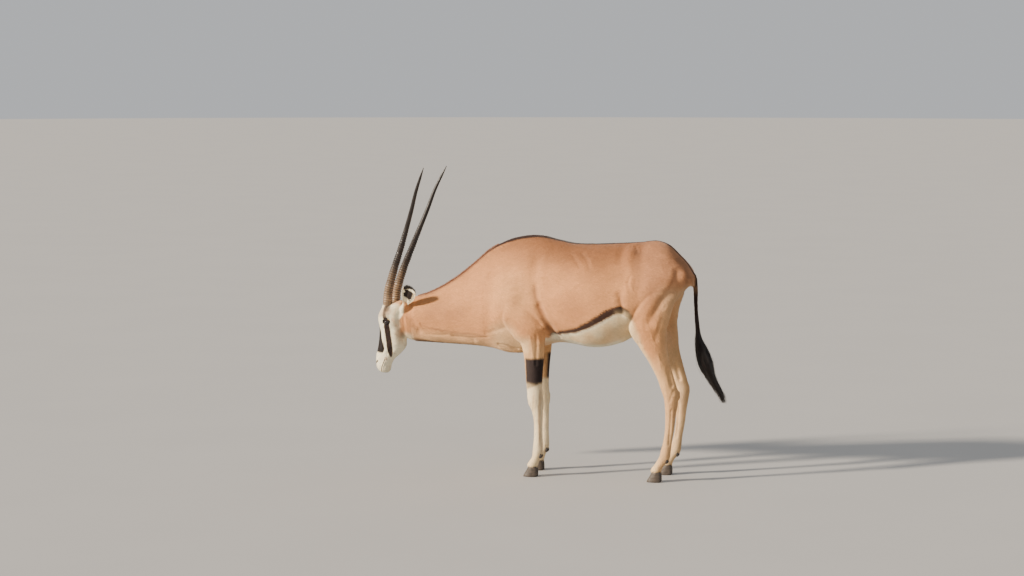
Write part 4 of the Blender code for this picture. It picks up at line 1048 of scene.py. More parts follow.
@dataclass
class Markings:
    """The colours of the whole skin, with its lines of painted shade and the lower and upper edge of the
    band.
    """

    zones: Zones
    trunk: Trunk
    # Painted shade: lines darkened where shade falls, in the crease behind the elbow, along the hip, rib,
    # flank, thigh and neck folds, at the tail root, under the brisket, on the neck behind the head and under
    # the jaw.
    shades: tuple[tuple[Line, float, Tone, float], ...] = (
        (((0.01, 0.93), (0.03, 0.85), (0.06, 0.78), (0.088, 0.725)), 0.03, Tone.CHEEK, 0.5),
        (((0.052, 0.79), (0.08, 0.73), (0.104, 0.69)), 0.034, Tone.BAND, 0.62),
        (((0.48, 1.128), (0.496, 1.11)), 0.022, Tone.CHEEK, 0.4),
        (((0.5, 1.11), (0.506, 1.05), (0.518, 1.0), (0.508, 0.95)), 0.03, Tone.CHEEK, 0.35),
        (((0.52, 1.125), (0.58, 1.1), (0.65, 1.07)), 0.04, Tone.CHEEK, 0.3),
        (((0.704, 1.026), (0.692, 0.985), (0.67, 0.942), (0.628, 0.888), (0.6, 0.82)), 0.026, Tone.CHEEK,
         0.25),
        (((0.69, 1.085), (0.728, 1.045), (0.748, 1.0), (0.735, 0.95)), 0.014, Tone.BAND, 0.25),
        (((0.178, 1.1), (0.205, 1.074), (0.232, 1.04)), 0.02, Tone.CHEEK, 0.28),
        (((0.23, 1.106), (0.262, 1.076), (0.28, 1.03)), 0.02, Tone.CHEEK, 0.28),
        (((0.146, 1.07), (0.184, 1.01)), 0.02, Tone.CHEEK, 0.2),
        (((0.434, 0.92), (0.44, 0.89), (0.452, 0.838)), 0.02, Tone.CHEEK, 0.45),
        (((-0.54, 0.79), (-0.4, 0.8)), 0.075, Tone.CHEEK, 0.38),
        (((-0.6, 0.735), (-0.53, 0.712), (-0.4, 0.7), (-0.26, 0.69)), 0.01, Tone.CHEEK, 0.5),
        (((-0.2, 0.646), (-0.15, 0.64), (-0.1, 0.622)), 0.014, Tone.BAND, 0.4),
        (((-0.668, 0.76), (-0.65, 0.72), (-0.63, 0.68)), 0.055, Tone.CHEEK, 0.4),
        (((-0.668, 0.735), (-0.65, 0.69)), 0.04, Tone.BAND, 0.4),
        (((0.6, 0.65), (0.636, 0.585), (0.646, 0.52)), 0.01, Tone.CHEEK, 0.35),
    )

    belly: Line = (
        (0.07, 0.697, 0.704), (0.107, 0.709, 0.722), (0.166, 0.716, 0.733), (0.215, 0.725, 0.746),
        (0.265, 0.745, 0.769), (0.314, 0.771, 0.797), (0.363, 0.796, 0.827), (0.402, 0.822, 0.845),
        (0.436, 0.828, 0.85), (0.47, 0.812, 0.838), (0.492, 0.79, 0.806),
    )

    def colours(self, points: Array) -> Array:
        """Return the coat's colour at places of the skin.

        Args:
            points: Places in the plan frame.

        Returns:
            Rows of linear red, green and blue.
        """
        wave = noise(points, 0.1, 3) * 0.004 + noise(points, 0.03, 4) * 0.0025
        tint = self._body(points + np.outer(wave, [0.6, 0.0, 1.0]))
        on_head = soft(self.zones.ahead(points), -0.01, 0.012)
        if np.any(on_head > 0):
            part = on_head[:, None]
            tint.rows = tint.rows * (1.0 - part) + self._face(points, wave).rows * part
        mottle = (1.0 + 0.05 * noise(points, 0.16, 5) + 0.04 * noise(points, 0.05, 6)
                  + 0.036 * noise(points, 0.014, 37))
        speck = soft(noise(points, 0.009, 38), 1.15, 2.0) * (1.0 - on_head)
        tint.lay(Tone.CHEEK, 0.5 * speck)
        tint.lay(Tone.CREAM, 0.3 * soft(noise(points, 0.01, 40), 1.25, 2.1) * (1.0 - on_head))
        return np.clip(tint.rows * mottle[:, None], 0.0, 1.0)

    def _body(self, points: Array) -> Tint:
        """Return the colours of the neck, trunk, legs and tail.

        Args:
            points: Places in the plan frame.

        Returns:
            One colour for each point.
        """
        x, y, z = points.T
        out = np.abs(y)
        tint = Tint.plain(Tone.FAWN, len(points))
        back = self.trunk.level(x, 1) - z
        tint.lay(Tone.FAWN_TOP, 0.9 * soft(back, 0.22, 0.01) * soft(x, -0.35, 0.05) * soft(x, 0.66, 0.5))
        tint.lay(Tone.FAWN_TOP, 0.35 * soft(back, 0.12, 0.01) * soft(x, -0.5, -0.2))
        tint.lay(Tone.FAWN_LEG, 0.28 * soft(oval(x, z, (-0.1, 0.9), (0.18, 0.18)), 1.0, 0.1))
        tint.lay(Tone.FAWN_TOP, 0.3 * soft(oval(x, z, (0.2, 0.86), (0.12, 0.12)), 1.0, 0.2))
        # Painted light: the front of the lower chest made paler where it faces the key light.
        tint.lay(Tone.CREAM, 0.5 * soft(oval(x, z, (-0.16, 0.69), (0.11, 0.11)), 1.0, 0.2))
        # Painted shade: the rump darkened where it faces away from the light.
        tint.lay(Tone.FAWN_RUMP, 0.7 * soft(x, 0.45, 0.6) * soft(z, 0.75, 0.95))
        # Painted light: the rear of the thigh made paler inside its shade.
        tint.lay(Tone.CREAM, 0.35 * soft(x, 0.58, 0.68) * soft(z, 0.99, 0.9) * soft(z, 0.5, 0.62))
        tint.lay(Tone.CREAM, 0.4 * soft(z - self.trunk.level(x, 2), 0.1, 0.01) * soft(x, 0.02, -0.1))
        tint.lay(Tone.NAPE, soft(back, 0.03, 0.004) * soft(out, 0.024, 0.006) * soft(x, -0.14, -0.22) * 0.8)
        half = np.interp(x, (-0.32, -0.12, 0.35, 0.56, 0.75), (0.008, 0.024, 0.022, 0.012, 0.01))
        half = half + 0.0012 * noise(points, 0.03, 32)
        tint.lay(Tone.DORSAL,
                 soft(out, half + 0.006, half - 0.003) * soft(x, -0.34, -0.22) * soft(back, 0.06, 0.04))
        throat = np.interp(x, (-0.66, -0.61, -0.52, -0.3), (0.034, 0.026, 0.014, 0.01))
        tint.lay(Tone.BAND,
                 0.85 * soft(out, throat + 0.006, throat - 0.004) * soft(x, -0.67, -0.64)
                 * soft(x, -0.14, -0.2) * soft(z - self.trunk.level(x, 2), 0.03, 0.012))
        low, high = (read_table(self.belly, x, column) for column in (1, 2))
        within = soft(x, 0.05, 0.09) * soft(x, 0.515, 0.47)
        under = soft(x, -0.06, 0.02) * soft(x, 0.6, 0.53)
        # Uneven strength of the painted shade lines.
        shade_unevenness = 0.8 + 0.3 * noise(points, 0.025, 31)
        for line, reach, tone, cover in self.shades:
            tint.lay(tone, cover * shade_unevenness * soft(side_distance(x, z, line), reach, 0.0))
        pale = soft(z, low + 0.003, low - 0.006) * soft(x, 0.06, 0.11) * soft(x, 0.5, 0.47)
        tint.lay(Tone.WHITE, pale)
        tint.lay(Tone.CREAM, pale * (0.8 + 0.2 * noise(points, 0.05, 33)) * soft(z, low, low - 0.026))
        tint.lay(Tone.FAWN_LEG,
                 pale * 0.38 * soft(noise(points, 0.045, 41), -1.0, 1.0) * soft(z, low, low - 0.05))
        top = high + 0.004 + 0.008 * soft(x, 0.15, 0.35)
        tint.lay(Tone.BAND, within * soft(z, low - 0.004, low + 0.004) * soft(z, top + 0.007, top - 0.005))
        tint.lay(Tone.WHITE, under * soft(out, 0.115, 0.085) * soft(z, 0.8, 0.7))
        self._legs(points, tint)
        stem_half = np.interp(z, (0.92, 0.98), (0.022, 0.006))
        stem = soft(x, 0.752, 0.76) * soft(out, stem_half + 0.008, stem_half) * soft(z, 1.0, 0.94)
        tint.lay(Tone.STEM, stem * (0.5 + 0.5 * soft(z, 0.98, 0.9)))
        tint.lay(Tone.CREAM,
                 0.25 * soft(x, 0.69, 0.745) * soft(out, 0.085, 0.02) * soft(z, 1.02, 0.88) * (1.0 - stem))
        return tint

    def _legs(self, points: Array, tint: Tint) -> None:
        """Lay the garters, stockings and pasterns over the colours of the legs.

        Args:
            points: Places in the plan frame.
            tint: Their colours, which change.
        """
        x, y, z = points.T
        out = np.abs(y)
        fore = soft(x, 0.16, 0.12) * soft(x, -0.14, -0.1) * soft(z, 0.72, 0.66)
        hind = soft(x, 0.44, 0.48) * soft(z, 0.8, 0.7)
        tint.lay(Tone.FAWN_LEG, fore * soft(z, 0.72, 0.62))
        tint.lay(Tone.WHITE, fore * soft(z, 0.475, 0.455))
        slant = 0.45 * x
        garter = soft(z, 0.445 + slant, 0.46 + slant) * soft(z, 0.598, 0.586)
        patch = soft(out, 0.078, 0.092) * soft(x, -0.047, -0.04)
        tint.lay(Tone.GARTER, fore * garter * (0.25 + 0.75 * patch))
        tint.lay(Tone.BLACK, 0.45 * fore * garter * patch * soft(x, -0.005, 0.03))
        # Painted shade in the groove between the bone and the tendons of the fore cannon.
        groove = soft(np.abs(x - 0.024 - 0.006 * soft(z, 0.3, 0.44)), 0.009, 0.003) * soft(out, 0.092, 0.1)
        tint.lay(Tone.CHEEK, 0.6 * fore * groove * soft(z, 0.46, 0.4) * soft(z, 0.12, 0.2))
        shin = soft(np.abs(x + 0.002), 0.01, 0.004) * soft(z, 0.45, 0.38) * soft(z, 0.2, 0.26)
        tint.lay(Tone.CREAM, 0.6 * fore * shin)
        tint.lay(Tone.CREAM, fore * (0.5 * soft(z, 0.475, 0.455) + 0.3 * soft(z, 0.15, 0.1)))
        tint.lay(Tone.CREAM, 0.55 * fore * soft(x, -0.01, -0.03) * soft(z, 0.6, 0.64))
        streak = soft(noise(points * np.array([1.0, 1.0, 0.1]), 0.008, 39), 0.1, 1.4)
        tint.lay(Tone.CHEEK, 0.45 * fore * streak * soft(z, 0.47, 0.44) * soft(z, 0.06, 0.12))
        tint.lay(Tone.FAWN_LEG, hind * soft(z, 0.66, 0.5))
        streak = 0.5 + 0.5 * noise(points * np.array([1.0, 1.0, 0.12]), 0.01, 34)
        tint.lay(Tone.CREAM,
                 hind * (0.22 * soft(z, 0.42, 0.22) + 0.35 * soft(out, 0.112, 0.098) * soft(z, 0.78, 0.55)))
        tint.lay(Tone.CHEEK, hind * 0.35 * streak * soft(z, 0.46, 0.38) * soft(z, 0.1, 0.16))
        edge = np.interp(z, (0.5, 0.58, 0.66, 0.74, 0.8, 0.85), (0.6, 0.57, 0.535, 0.5, 0.48, 0.462))
        tint.lay(Tone.CREAM,
                 0.75 * soft(x, 0.4, 0.43) * soft(x, edge + 0.03, edge - 0.005) * soft(z, 0.86, 0.8))
        tint.lay(Tone.WHITE, hind * 0.35 * soft(out, 0.1, 0.07) * soft(z, 0.85, 0.66))
        shin = soft(x, 0.648, 0.634) * soft(z, 0.44, 0.4) * soft(z, 0.25, 0.33)
        tint.lay(Tone.CHEEK, hind * 0.45 * shin)
        tint.lay(Tone.BAND, 0.55 * soft(z, 0.058, 0.05) * (fore + hind))

    def _face(self, points: Array, wave: Array) -> Tint:
        """Return the colours of the head, from places in its own frame.

        Args:
            points: Places in the plan frame.
            wave: How far edges are shifted.

        Returns:
            One colour for each point.
        """
        own = POSE.to_head(points)
        x, z = own[:, 0] + 0.4 * wave, own[:, 2] + 0.4 * wave
        out = np.abs(own[:, 1])
        tint = Tint.plain(Tone.WHITE, len(points))
        tint.lay(Tone.CREAM, 0.45 * soft(x, -0.735, -0.7) * soft(z, 0.6, 0.66))
        cheek = soft(oval(x, z, (-0.712, 0.755), (0.026, 0.05)), 1.15, 0.55)
        tint.lay(Tone.FAWN, 0.42 * cheek * soft(noise(points, 0.02, 8), -0.6, 1.0))
        # Painted shade at the rear of the jaw angle.
        jaw = soft(oval(x, z, (-0.7, 0.69), (0.018, 0.04)), 1.1, 0.5)
        tint.lay(Tone.CHEEK, 0.35 * jaw)
        tint.lay(Tone.FAWN, soft(x, -0.702, -0.69) * soft(z, 0.66, 0.7))
        # Painted shade in the crease between the jaw and the neck.
        crease = side_distance(x, z, ((-0.69, 0.8), (-0.693, 0.745), (-0.686, 0.695), (-0.69, 0.66)))
        tint.lay(Tone.BAND, 0.42 * soft(crease, 0.012, 0.002))
        speck = soft(noise(points, 0.012, 9), 0.35, 1.1) * soft(x, -0.76, -0.735)
        tint.lay(Tone.CHEEK, 0.3 * speck)
        tint.lay(Tone.FAWN, 0.8 * soft(z, 0.812, 0.832) * soft(out, 0.052, 0.036))
        lean = x + 0.69 - 0.45 * (z - 0.79)
        root = np.hypot(lean / 0.022, (z - 0.792) / 0.048)
        tint.lay(Tone.WHITE, 0.9 * soft(root, 1.1, 0.7) * soft(out, 0.024, 0.036))
        middle = np.interp(z, (0.56, 0.6, 0.65, 0.7, 0.737, 0.785, 0.83),
                           (-0.757, -0.755, -0.753, -0.757, -0.76, -0.771, -0.752))
        half = np.interp(z, (0.556, 0.575, 0.62, 0.68, 0.737, 0.775, 0.83),
                         (0.004, 0.012, 0.0165, 0.0165, 0.015, 0.009, 0.008))
        stripe = (soft(np.abs(x - middle), half + 0.0025, half - 0.0025) * soft(out, 0.018, 0.028)
                  * soft(z, 0.548, 0.56))
        upper = soft(z, 0.752, 0.77)
        tint.lay(Tone.CHEEK, 0.55 * upper * soft(np.abs(x - middle), 0.024, 0.006) * soft(out, 0.018, 0.03))
        tint.lay(Tone.BAND, stripe * (1.0 - 0.25 * upper))
        tint.lay(Tone.BLACK, stripe * (0.55 + 0.4 * noise(points, 0.008, 35)) * (1.0 - 0.8 * upper))
        ring = oval(x, z, (-0.761, 0.737), (0.0235, 0.0175)) + 0.1 * noise(points, 0.008, 36)
        tint.lay(Tone.BLACK, soft(ring, 1.08, 0.86) * soft(out, 0.03, 0.04))
        spot = oval(x, z, (-0.744, 0.75), (0.0075, 0.005))
        tint.lay(Tone.CREAM, 0.85 * soft(spot, 1.1, 0.6) * soft(out, 0.03, 0.04))
        edge = np.interp(z, (0.572, 0.585, 0.6, 0.618, 0.66, 0.702, 0.718, 0.74),
                         (-0.8, -0.79, -0.785, -0.789, -0.799, -0.809, -0.817, -0.834))
        blaze = soft(x, edge + 0.002, edge - 0.002) * soft(z, 0.57, 0.58)
        tint.lay(Tone.BLACK, blaze)
        crown = soft(np.hypot(out / 0.024, (z - 0.812) / 0.032), 1.1, 0.85) * soft(x, -0.765, -0.785)
        tint.lay(Tone.BLACK, crown)
        brow = soft(oval(x, z, (-0.798, 0.78), (0.026, 0.03)), 1.1, 0.5) * soft(out, 0.014, 0.03)
        tint.lay(Tone.CHEEK, 0.35 * brow)
        temple = soft(oval(x, z, (-0.748, 0.79), (0.02, 0.02)), 1.2, 0.5) * soft(out, 0.03, 0.045)
        tint.lay(Tone.CHEEK, 0.55 * temple * (1.0 - stripe))
        opening = side_distance(own[:, 0], own[:, 2], ((-0.845, 0.513), (-0.841, 0.526), (-0.83, 0.534)))
        tint.lay(Tone.SKIN, 0.85 * soft(opening, 0.006, 0.002) * soft(out, 0.008, 0.014))
        lips = soft(CUTS.mouth_away(own), 0.0032, 0.0012)
        tint.lay(Tone.SKIN, 0.75 * lips)
        nose = (soft(x, -0.838, -0.846) * soft(z, 0.556, 0.546) * soft(z, 0.5, 0.508)
                * soft(out, 0.022, 0.014))
        tint.lay(Tone.SKIN, 0.35 * nose)
        corner = soft(oval(x, z, (-0.782, 0.548), (0.01, 0.01)), 1.2, 0.5)
        tint.lay(Tone.CHEEK, 0.5 * corner)
        return tint


def paint(made: Piece, colours: Array) -> None:
    """Store one colour for each point of a mesh.

    Args:
        made: Object to change.
        colours: Linear red, green and blue of each point.
    """
    layer = made.data.color_attributes.new("tint", "FLOAT_COLOR", "POINT")
    rows = np.ones((len(colours), 4))
    rows[:, :3] = colours
    layer.data.foreach_set("color", rows.ravel())


def map_corners(made: Piece, flat: Array) -> None:
    """Store the flat map, one place for each face corner."""
    layer = made.data.uv_layers.new(name=FLAT_MAP)
    layer.data.foreach_set("uv", np.ascontiguousarray(flat).ravel())


def place_in_row(made: Piece, finish: Material, replaced: tuple[str, ...]) -> None:
    """Move a piece from the plan frame to the row frame, dress it and tie it to the part.

    Args:
        made: The finished piece.
        finish: Its material.
        replaced: Names of the solids that it stands for.
    """
    made.data.transform(Matrix.Translation((SHIFT_X, 0.0, 0.0)))
    made.data.materials.clear()
    made.data.materials.append(finish)
    made.data.shade_smooth()
    if replaced:
        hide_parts(*replaced)
    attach(made, "root")
    log.info("%s: %d faces", made.name, len(made.data.polygons))


@dataclass
class Skin:
    """The one skin of the animal under its coat."""

    trunk: Trunk
    legs: dict[Zone, Leg]
    zones: Zones
    markings: Markings
    voxel: float = 0.0044
    depth: float = 0.0022
    face_depth: float = 0.001
    face_middle: Row = (-0.765, 0.0, 0.66)
    face_reach: float = 0.215
    smooth_reach: float = 0.2
    lid_reach: float = 0.03
    muzzle: Row = (-0.815, 0.0, 0.51)
    muzzle_reach: float = 0.06
    mound: Line = ((-0.03, 0.013), (-0.01, 0.0175), (0.01, 0.016), (0.026, 0.012))
    horn_mound: tuple[Form, ...] = (((-0.764, 0.039, 0.77), 0.024), ((-0.765, 0.0403, 0.795), 0.0285),
                                    ((-0.765, 0.0407, 0.811), 0.0275), ((-0.7645, 0.0412, 0.82), 0.0245))

    def build(self) -> Piece:
        """Model the skin in the plan frame.

        Returns:
            The skin, not dressed yet.
        """
        pieces = [Workshop.loft("trunk", self.trunk.rings()), Workshop.loft("head", Head().rings()),
                  Workshop.loft("tail", TailStem().rings())]
        pieces += [self._ear_mound(ear) for ear in (NEAR_EAR, FAR_EAR)]
        pieces += [self._horn_mound(side) for side in Side]
        pieces += [Workshop.loft("leg", leg.rings()) for leg in self.legs.values()]
        skin = Workshop.join("skin", pieces)
        Workshop.fuse(skin, self.voxel)
        Workshop.relax(skin, 13)
        forms = Forms()
        Workshop.press(skin, forms.large(Workshop.tree(skin)))
        Workshop.relax(skin, 3)
        middle = POSE.to_plan(self.face_middle)
        Workshop.refine(skin, middle, self.face_reach)
        self._relax_near(skin, middle, self.smooth_reach, 2)
        Workshop.press(skin, forms.small(Workshop.tree(skin)))
        for side in Side:
            Workshop.refine(skin, POSE.to_plan(EYES.centre(side)), self.lid_reach)
        Workshop.refine(skin, POSE.to_plan(self.muzzle), self.muzzle_reach)
        self._thin_coat(skin)
        self._cut_mouth(skin)
        for side in Side:
            self._cut_nostril(skin, side)
            self._set_lids(skin, side)
        return skin

    @staticmethod
    def _relax_near(skin: Piece, centre: Array, reach: float, rounds: int) -> None:
        """Smooth only the part of a skin near a place."""
        away = np.linalg.norm(Workshop.points(skin) - centre, axis=1)
        Workshop.relax(skin, rounds, soft(away, reach, reach * 0.9))

    def _ear_mound(self, ear: EarPlace) -> Piece:
        """Make the fleshy mound that an ear stands on.

        Args:
            ear: Place of the ear.

        Returns:
            The mound.
        """
        root, along, _, _ = ear.axes()
        path = POSE.to_plan([root + along * reach for reach, _ in self.mound])
        radii = [radius for _, radius in self.mound]
        return Workshop.loft("ear mound", tube_rings(path, radii, radii, 40))

    def _horn_mound(self, side: Side) -> Piece:
        """Make the mound of skin that a horn grows from.

        Args:
            side: Which side.

        Returns:
            The mound.
        """
        path = POSE.to_plan(side.place([place for place, _ in self.horn_mound]))
        radii = [radius for _, radius in self.horn_mound]
        return Workshop.loft("horn mound", tube_rings(path, radii, radii, 40))

    def _thin_coat(self, skin: Piece) -> None:
        """Draw the skin in by the depth of the coat, less on the face and the lower legs.

        Args:
            skin: The skin in the plan frame.
        """
        points = Workshop.points(skin)
        shallow = np.maximum(soft(self.zones.ahead(points), -0.02, 0.03), soft(points[:, 2], 0.6, 0.45))
        depth = self.depth + (self.face_depth - self.depth) * shallow
        Workshop.sink(skin, depth)

    def _cut_mouth(self, skin: Piece) -> None:
        """Sink the line of the mouth between full lips.

        Args:
            skin: The skin in the plan frame.
        """
        own = POSE.to_head(Workshop.points(skin))
        near = (own[:, 2] < 0.56) & (own[:, 2] > 0.45)
        away = np.ones(len(own))
        away[near] = CUTS.mouth_away(own[near])
        sink = (CUTS.mouth_depth * soft(away, 0.0026, 0.0004)
                - 0.0011 * soft(away, 0.007, 0.0042) * soft(away, 0.002, 0.0036))
        Workshop.sink(skin, sink)

    def _cut_nostril(self, skin: Piece, side: Side) -> None:
        """Sink one nostril and raise its wing.

        Args:
            skin: The skin in the plan frame.
            side: Which side.
        """
        path = CUTS.nostril_path(side, 7)
        Workshop.press(skin,
                       [(path, 0.005, -CUTS.nostril_depth), (path + (0.0, 0.0, 0.007), 0.0065, 0.0014)])

    def _set_lids(self, skin: Piece, side: Side) -> None:
        """Open the skin over the eyeball and lay the lids round it.

        Args:
            skin: The skin in the plan frame.
            side: Which side.
        """
        points = Workshop.points(skin)
        box = np.linalg.norm(points - POSE.to_plan(EYES.centre(side)), axis=1) < 0.04
        near = points[box]
        along, above, out = EYES.local(near, side)
        bow = np.abs(along / EYES.half_long)
        reach = np.hypot(along / EYES.half_long, above / (EYES.half_high * np.where(above > 0, 1.0, 0.92)))
        ball = np.sqrt(np.maximum((EYES.radius + EYES.lid) ** 2 - along**2 - above**2, 0.0))
        on_ball = soft(reach, 1.75, 1.1)
        rim = 0.0011 * soft(reach, 1.5, 1.16) * soft(reach, 0.98, 1.1)
        target = out * (1.0 - on_ball) + (ball + rim) * on_ball
        open_part = soft(reach, 1.06, 0.9) * soft(bow, 1.2, 1.0)
        target = target * (1.0 - open_part) + (EYES.radius * 0.45) * open_part
        face = POSE.to_plan(np.array([[0.0, side.value, 0.0], [0.0, 0.0, 0.0]]))
        points[box] = near + np.outer(target - out, face[0] - face[1])
        Workshop.move(skin, points)

    def dress(self, skin: Piece, finish: Material) -> None:
        """Colour the skin, unroll its map and put it in the row frame.

        Args:
            skin: The skin in the plan frame.
            finish: The coat's material.
        """
        points = Workshop.points(skin)
        tint = Tint(self.markings.colours(points))
        for side in Side:
            along, above, out = EYES.local(points, side)
            reach = np.hypot(along / EYES.half_long, above / EYES.half_high)
            lid = soft(reach, 1.55, 1.15) * soft(out, 0.0, 0.004) * (np.abs(along) < 0.04)
            tint.lay(Tone.BLACK, 0.85 * lid)
            path = CUTS.nostril_path(side, 12)
            close = np.where(np.linalg.norm(points - path[6], axis=1) < 0.03)[0]
            apart = np.linalg.norm(points[close][:, None, :] - path[None, :, :], axis=2)
            away = np.ones(len(points))
            away[close] = np.min(apart, axis=1)
            tint.lay(Tone.SKIN, 0.9 * soft(away, 0.0052, 0.003))
        paint(skin, tint.rows)
        self._unroll(skin, points)
        place_in_row(skin, finish,
                     ("head", "neck", "torso", "fore_left_leg", "fore_right_leg", "hind_left_leg",
                      "hind_right_leg", "tail_stem"))

    def _unroll(self, skin: Piece, points: Array) -> None:
        """Lay each zone of the skin in its own tile of the flat map.

        Args:
            skin: The skin in the plan frame.
            points: Its points.
        """
        mesh = skin.data
        corner = read_mesh(mesh.loops, "vertex_index", kind=np.int64)
        total = read_mesh(mesh.polygons, "loop_total", kind=np.int64)
        zone = np.repeat(self.zones.find(read_mesh(mesh.polygons, "center", 3)), total)
        flat = np.zeros((len(corner), 2))
        for part in Zone:
            mine = zone == part.value
            tile = np.array([part.value % 3, part.value // 3]) / 3.0
            flat[mine] = tile + self.zones.unroll(points[corner[mine]], part) / 3.0
        map_corners(skin, flat)


@dataclass(frozen=True)
class TuftPlan:
    """How the tufts of one stretch of the coat look and how densely they stand."""

    zone: Zone
    name: str
    count: int
    length: float
    width: float
    thickness: float
    lift: float
    shade: float = 0.06


@dataclass
class Coat:
    """The short coat: thin closed tufts laid over the skin along its lie."""

    skin: Piece
    zones: Zones
    markings: Markings
    lie: Lie
    root_depth: float = 0.0008
    plans: tuple[TuftPlan, ...] = (
        TuftPlan(Zone.TRUNK_LEFT, "coat_trunk_left", 46000, 0.015, 0.0028, 0.001, 0.1),
        TuftPlan(Zone.TRUNK_RIGHT, "coat_trunk_right", 46000, 0.015, 0.0028, 0.001, 0.1),
        TuftPlan(Zone.NECK, "coat_neck", 34000, 0.014, 0.0025, 0.0009, 0.1),
        TuftPlan(Zone.HEAD, "coat_head", 34000, 0.0062, 0.0013, 0.0005, 0.1, 0.05),
        TuftPlan(Zone.FORE_LEFT, "coat_fore_left_leg", 16000, 0.0095, 0.002, 0.0007, 0.1),
        TuftPlan(Zone.FORE_RIGHT, "coat_fore_right_leg", 16000, 0.0095, 0.002, 0.0007, 0.1),
        TuftPlan(Zone.HIND_LEFT, "coat_hind_left_leg", 20000, 0.01, 0.0021, 0.0007, 0.1),
        TuftPlan(Zone.HIND_RIGHT, "coat_hind_right_leg", 20000, 0.01, 0.0021, 0.0007, 0.1),
        TuftPlan(Zone.TAIL, "coat_tail_stem", 4200, 0.014, 0.0022, 0.0008, 0.13),
    )

    def __post_init__(self) -> None:
        """Read the skin that the coat grows on."""
        mesh = self.skin.data
        mesh.calc_loop_triangles()
        self.points = Workshop.points(self.skin)
        self.normals = Workshop.normals(self.skin)
        self.faces = read_mesh(mesh.loop_triangles, "vertices", 3, np.int64)
        ends = self.points[self.faces]
        self.area = 0.5 * np.linalg.norm(np.cross(ends[:, 1] - ends[:, 0], ends[:, 2] - ends[:, 0]), axis=1)
        self.zone = self.zones.find(ends.mean(axis=1))
        self.bare = self._bare(ends.mean(axis=1))

    def _bare(self, centres: Array) -> Array:
        """Return which faces grow no tufts: at the eyes, lids, lips and nostrils, and under the hooves.

        Args:
            centres: Middles of the faces.

        Returns:
            True for each bare face.
        """
        bare = centres[:, 2] < 0.052
        for side in Side:
            along, above, out = EYES.local(centres, side)
            reach = np.hypot(along / EYES.half_long, above / EYES.half_high)
            bare |= (reach < 1.45) & (out > -0.02)
            middle = POSE.to_plan(side.place(CUTS.nostril[1]))
            bare |= np.linalg.norm(centres - middle, axis=1) < 0.011
        own = POSE.to_head(centres)
        bare |= (CUTS.mouth_away(own) < 0.0045) & (own[:, 2] < 0.56) & (self.zone == Zone.HEAD.value)
        return bare

    def scatter(self, wanted: Array, count: int, seed: int) -> tuple[Array, Array]:
        """Pick even random places on the chosen faces.

        Args:
            wanted: Weight of each face.
            count: Number of places.
            seed: Number that picks the pattern.

        Returns:
            The places and the outward directions there.
        """
        chance = np.random.default_rng(seed)
        weight = np.cumsum(self.area * wanted)
        pick = np.searchsorted(weight, (np.arange(count) + chance.random(count)) / count * weight[-1])
        pick = np.minimum(pick, len(self.faces) - 1)
        one, two = chance.random(count), chance.random(count)
        fold = one + two > 1.0
        one[fold], two[fold] = 1.0 - one[fold], 1.0 - two[fold]
        share = np.stack([1.0 - one - two, one, two], -1)[:, :, None]
        rows = self.faces[pick]
        return np.sum(self.points[rows] * share, axis=1), unit(np.sum(self.normals[rows] * share, axis=1))

    def build(self, plan: TuftPlan, finish: Material) -> Piece:
        """Grow the tufts of one plan.

        Args:
            plan: Size and number of the tufts.
            finish: The coat's material.

        Returns:
            The piece of coat.
        """
        seed = SEED + plan.zone.value
        chance = np.random.default_rng(seed)
        wanted = ((self.zone == plan.zone.value) & ~self.bare).astype(float)
        roots, up = self.scatter(wanted, plan.count, seed)
        along = self.lie.along(roots, up)
        side = np.cross(up, along)
        sway = noise(roots, 0.05, 11)[:, None] * 0.22 + chance.normal(0.0, 0.16, (plan.count, 1))
        along = unit(along + side * sway)
        side = np.cross(up, along)
        length = plan.length * chance.uniform(0.7, 1.25, (plan.count, 1))
        width = plan.width * chance.uniform(0.75, 1.25, (plan.count, 1))
        lift = plan.lift * chance.uniform(0.5, 1.4, (plan.count, 1))
        low = roots - up * self.root_depth
        corners = np.stack([low + side * width * 0.5, low - side * width * 0.5,
                            roots + up * plan.thickness + along * length * 0.25,
                            roots + along * length + up * length * lift], 1)
        faces = np.array([[0, 2, 3], [2, 1, 3], [1, 0, 3], [0, 1, 2]])
        made = self.piece(plan.name, corners, faces)
        tint = self.markings.colours(roots)
        tint = tint * (1.0 + chance.normal(0.0, plan.shade, (plan.count, 1)))
        tint = tint * np.where(chance.uniform(size=(plan.count, 1)) < 0.03, 1.22, 1.0)
        share = np.array([0.93, 0.93, 0.99, 1.05])
        paint(made, np.clip(tint[:, None, :] * share[None, :, None], 0.0, 1.0).reshape(-1, 3))
        flat = self.zones.unroll(roots, plan.zone)
        spot = np.array([[-PATCH, -PATCH], [PATCH, -PATCH], [0.0, 0.0004], [0.0, 0.0014]])
        self.map_patches(made, flat, spot, faces)
        tilted = unit(up + 0.25 * side * chance.normal(0.0, 0.5, (plan.count, 1)) - 0.12 * along)
        made.data.normals_split_custom_set_from_vertices(np.repeat(tilted, 4, axis=0).tolist())
        place_in_row(made, finish, ())
        return made

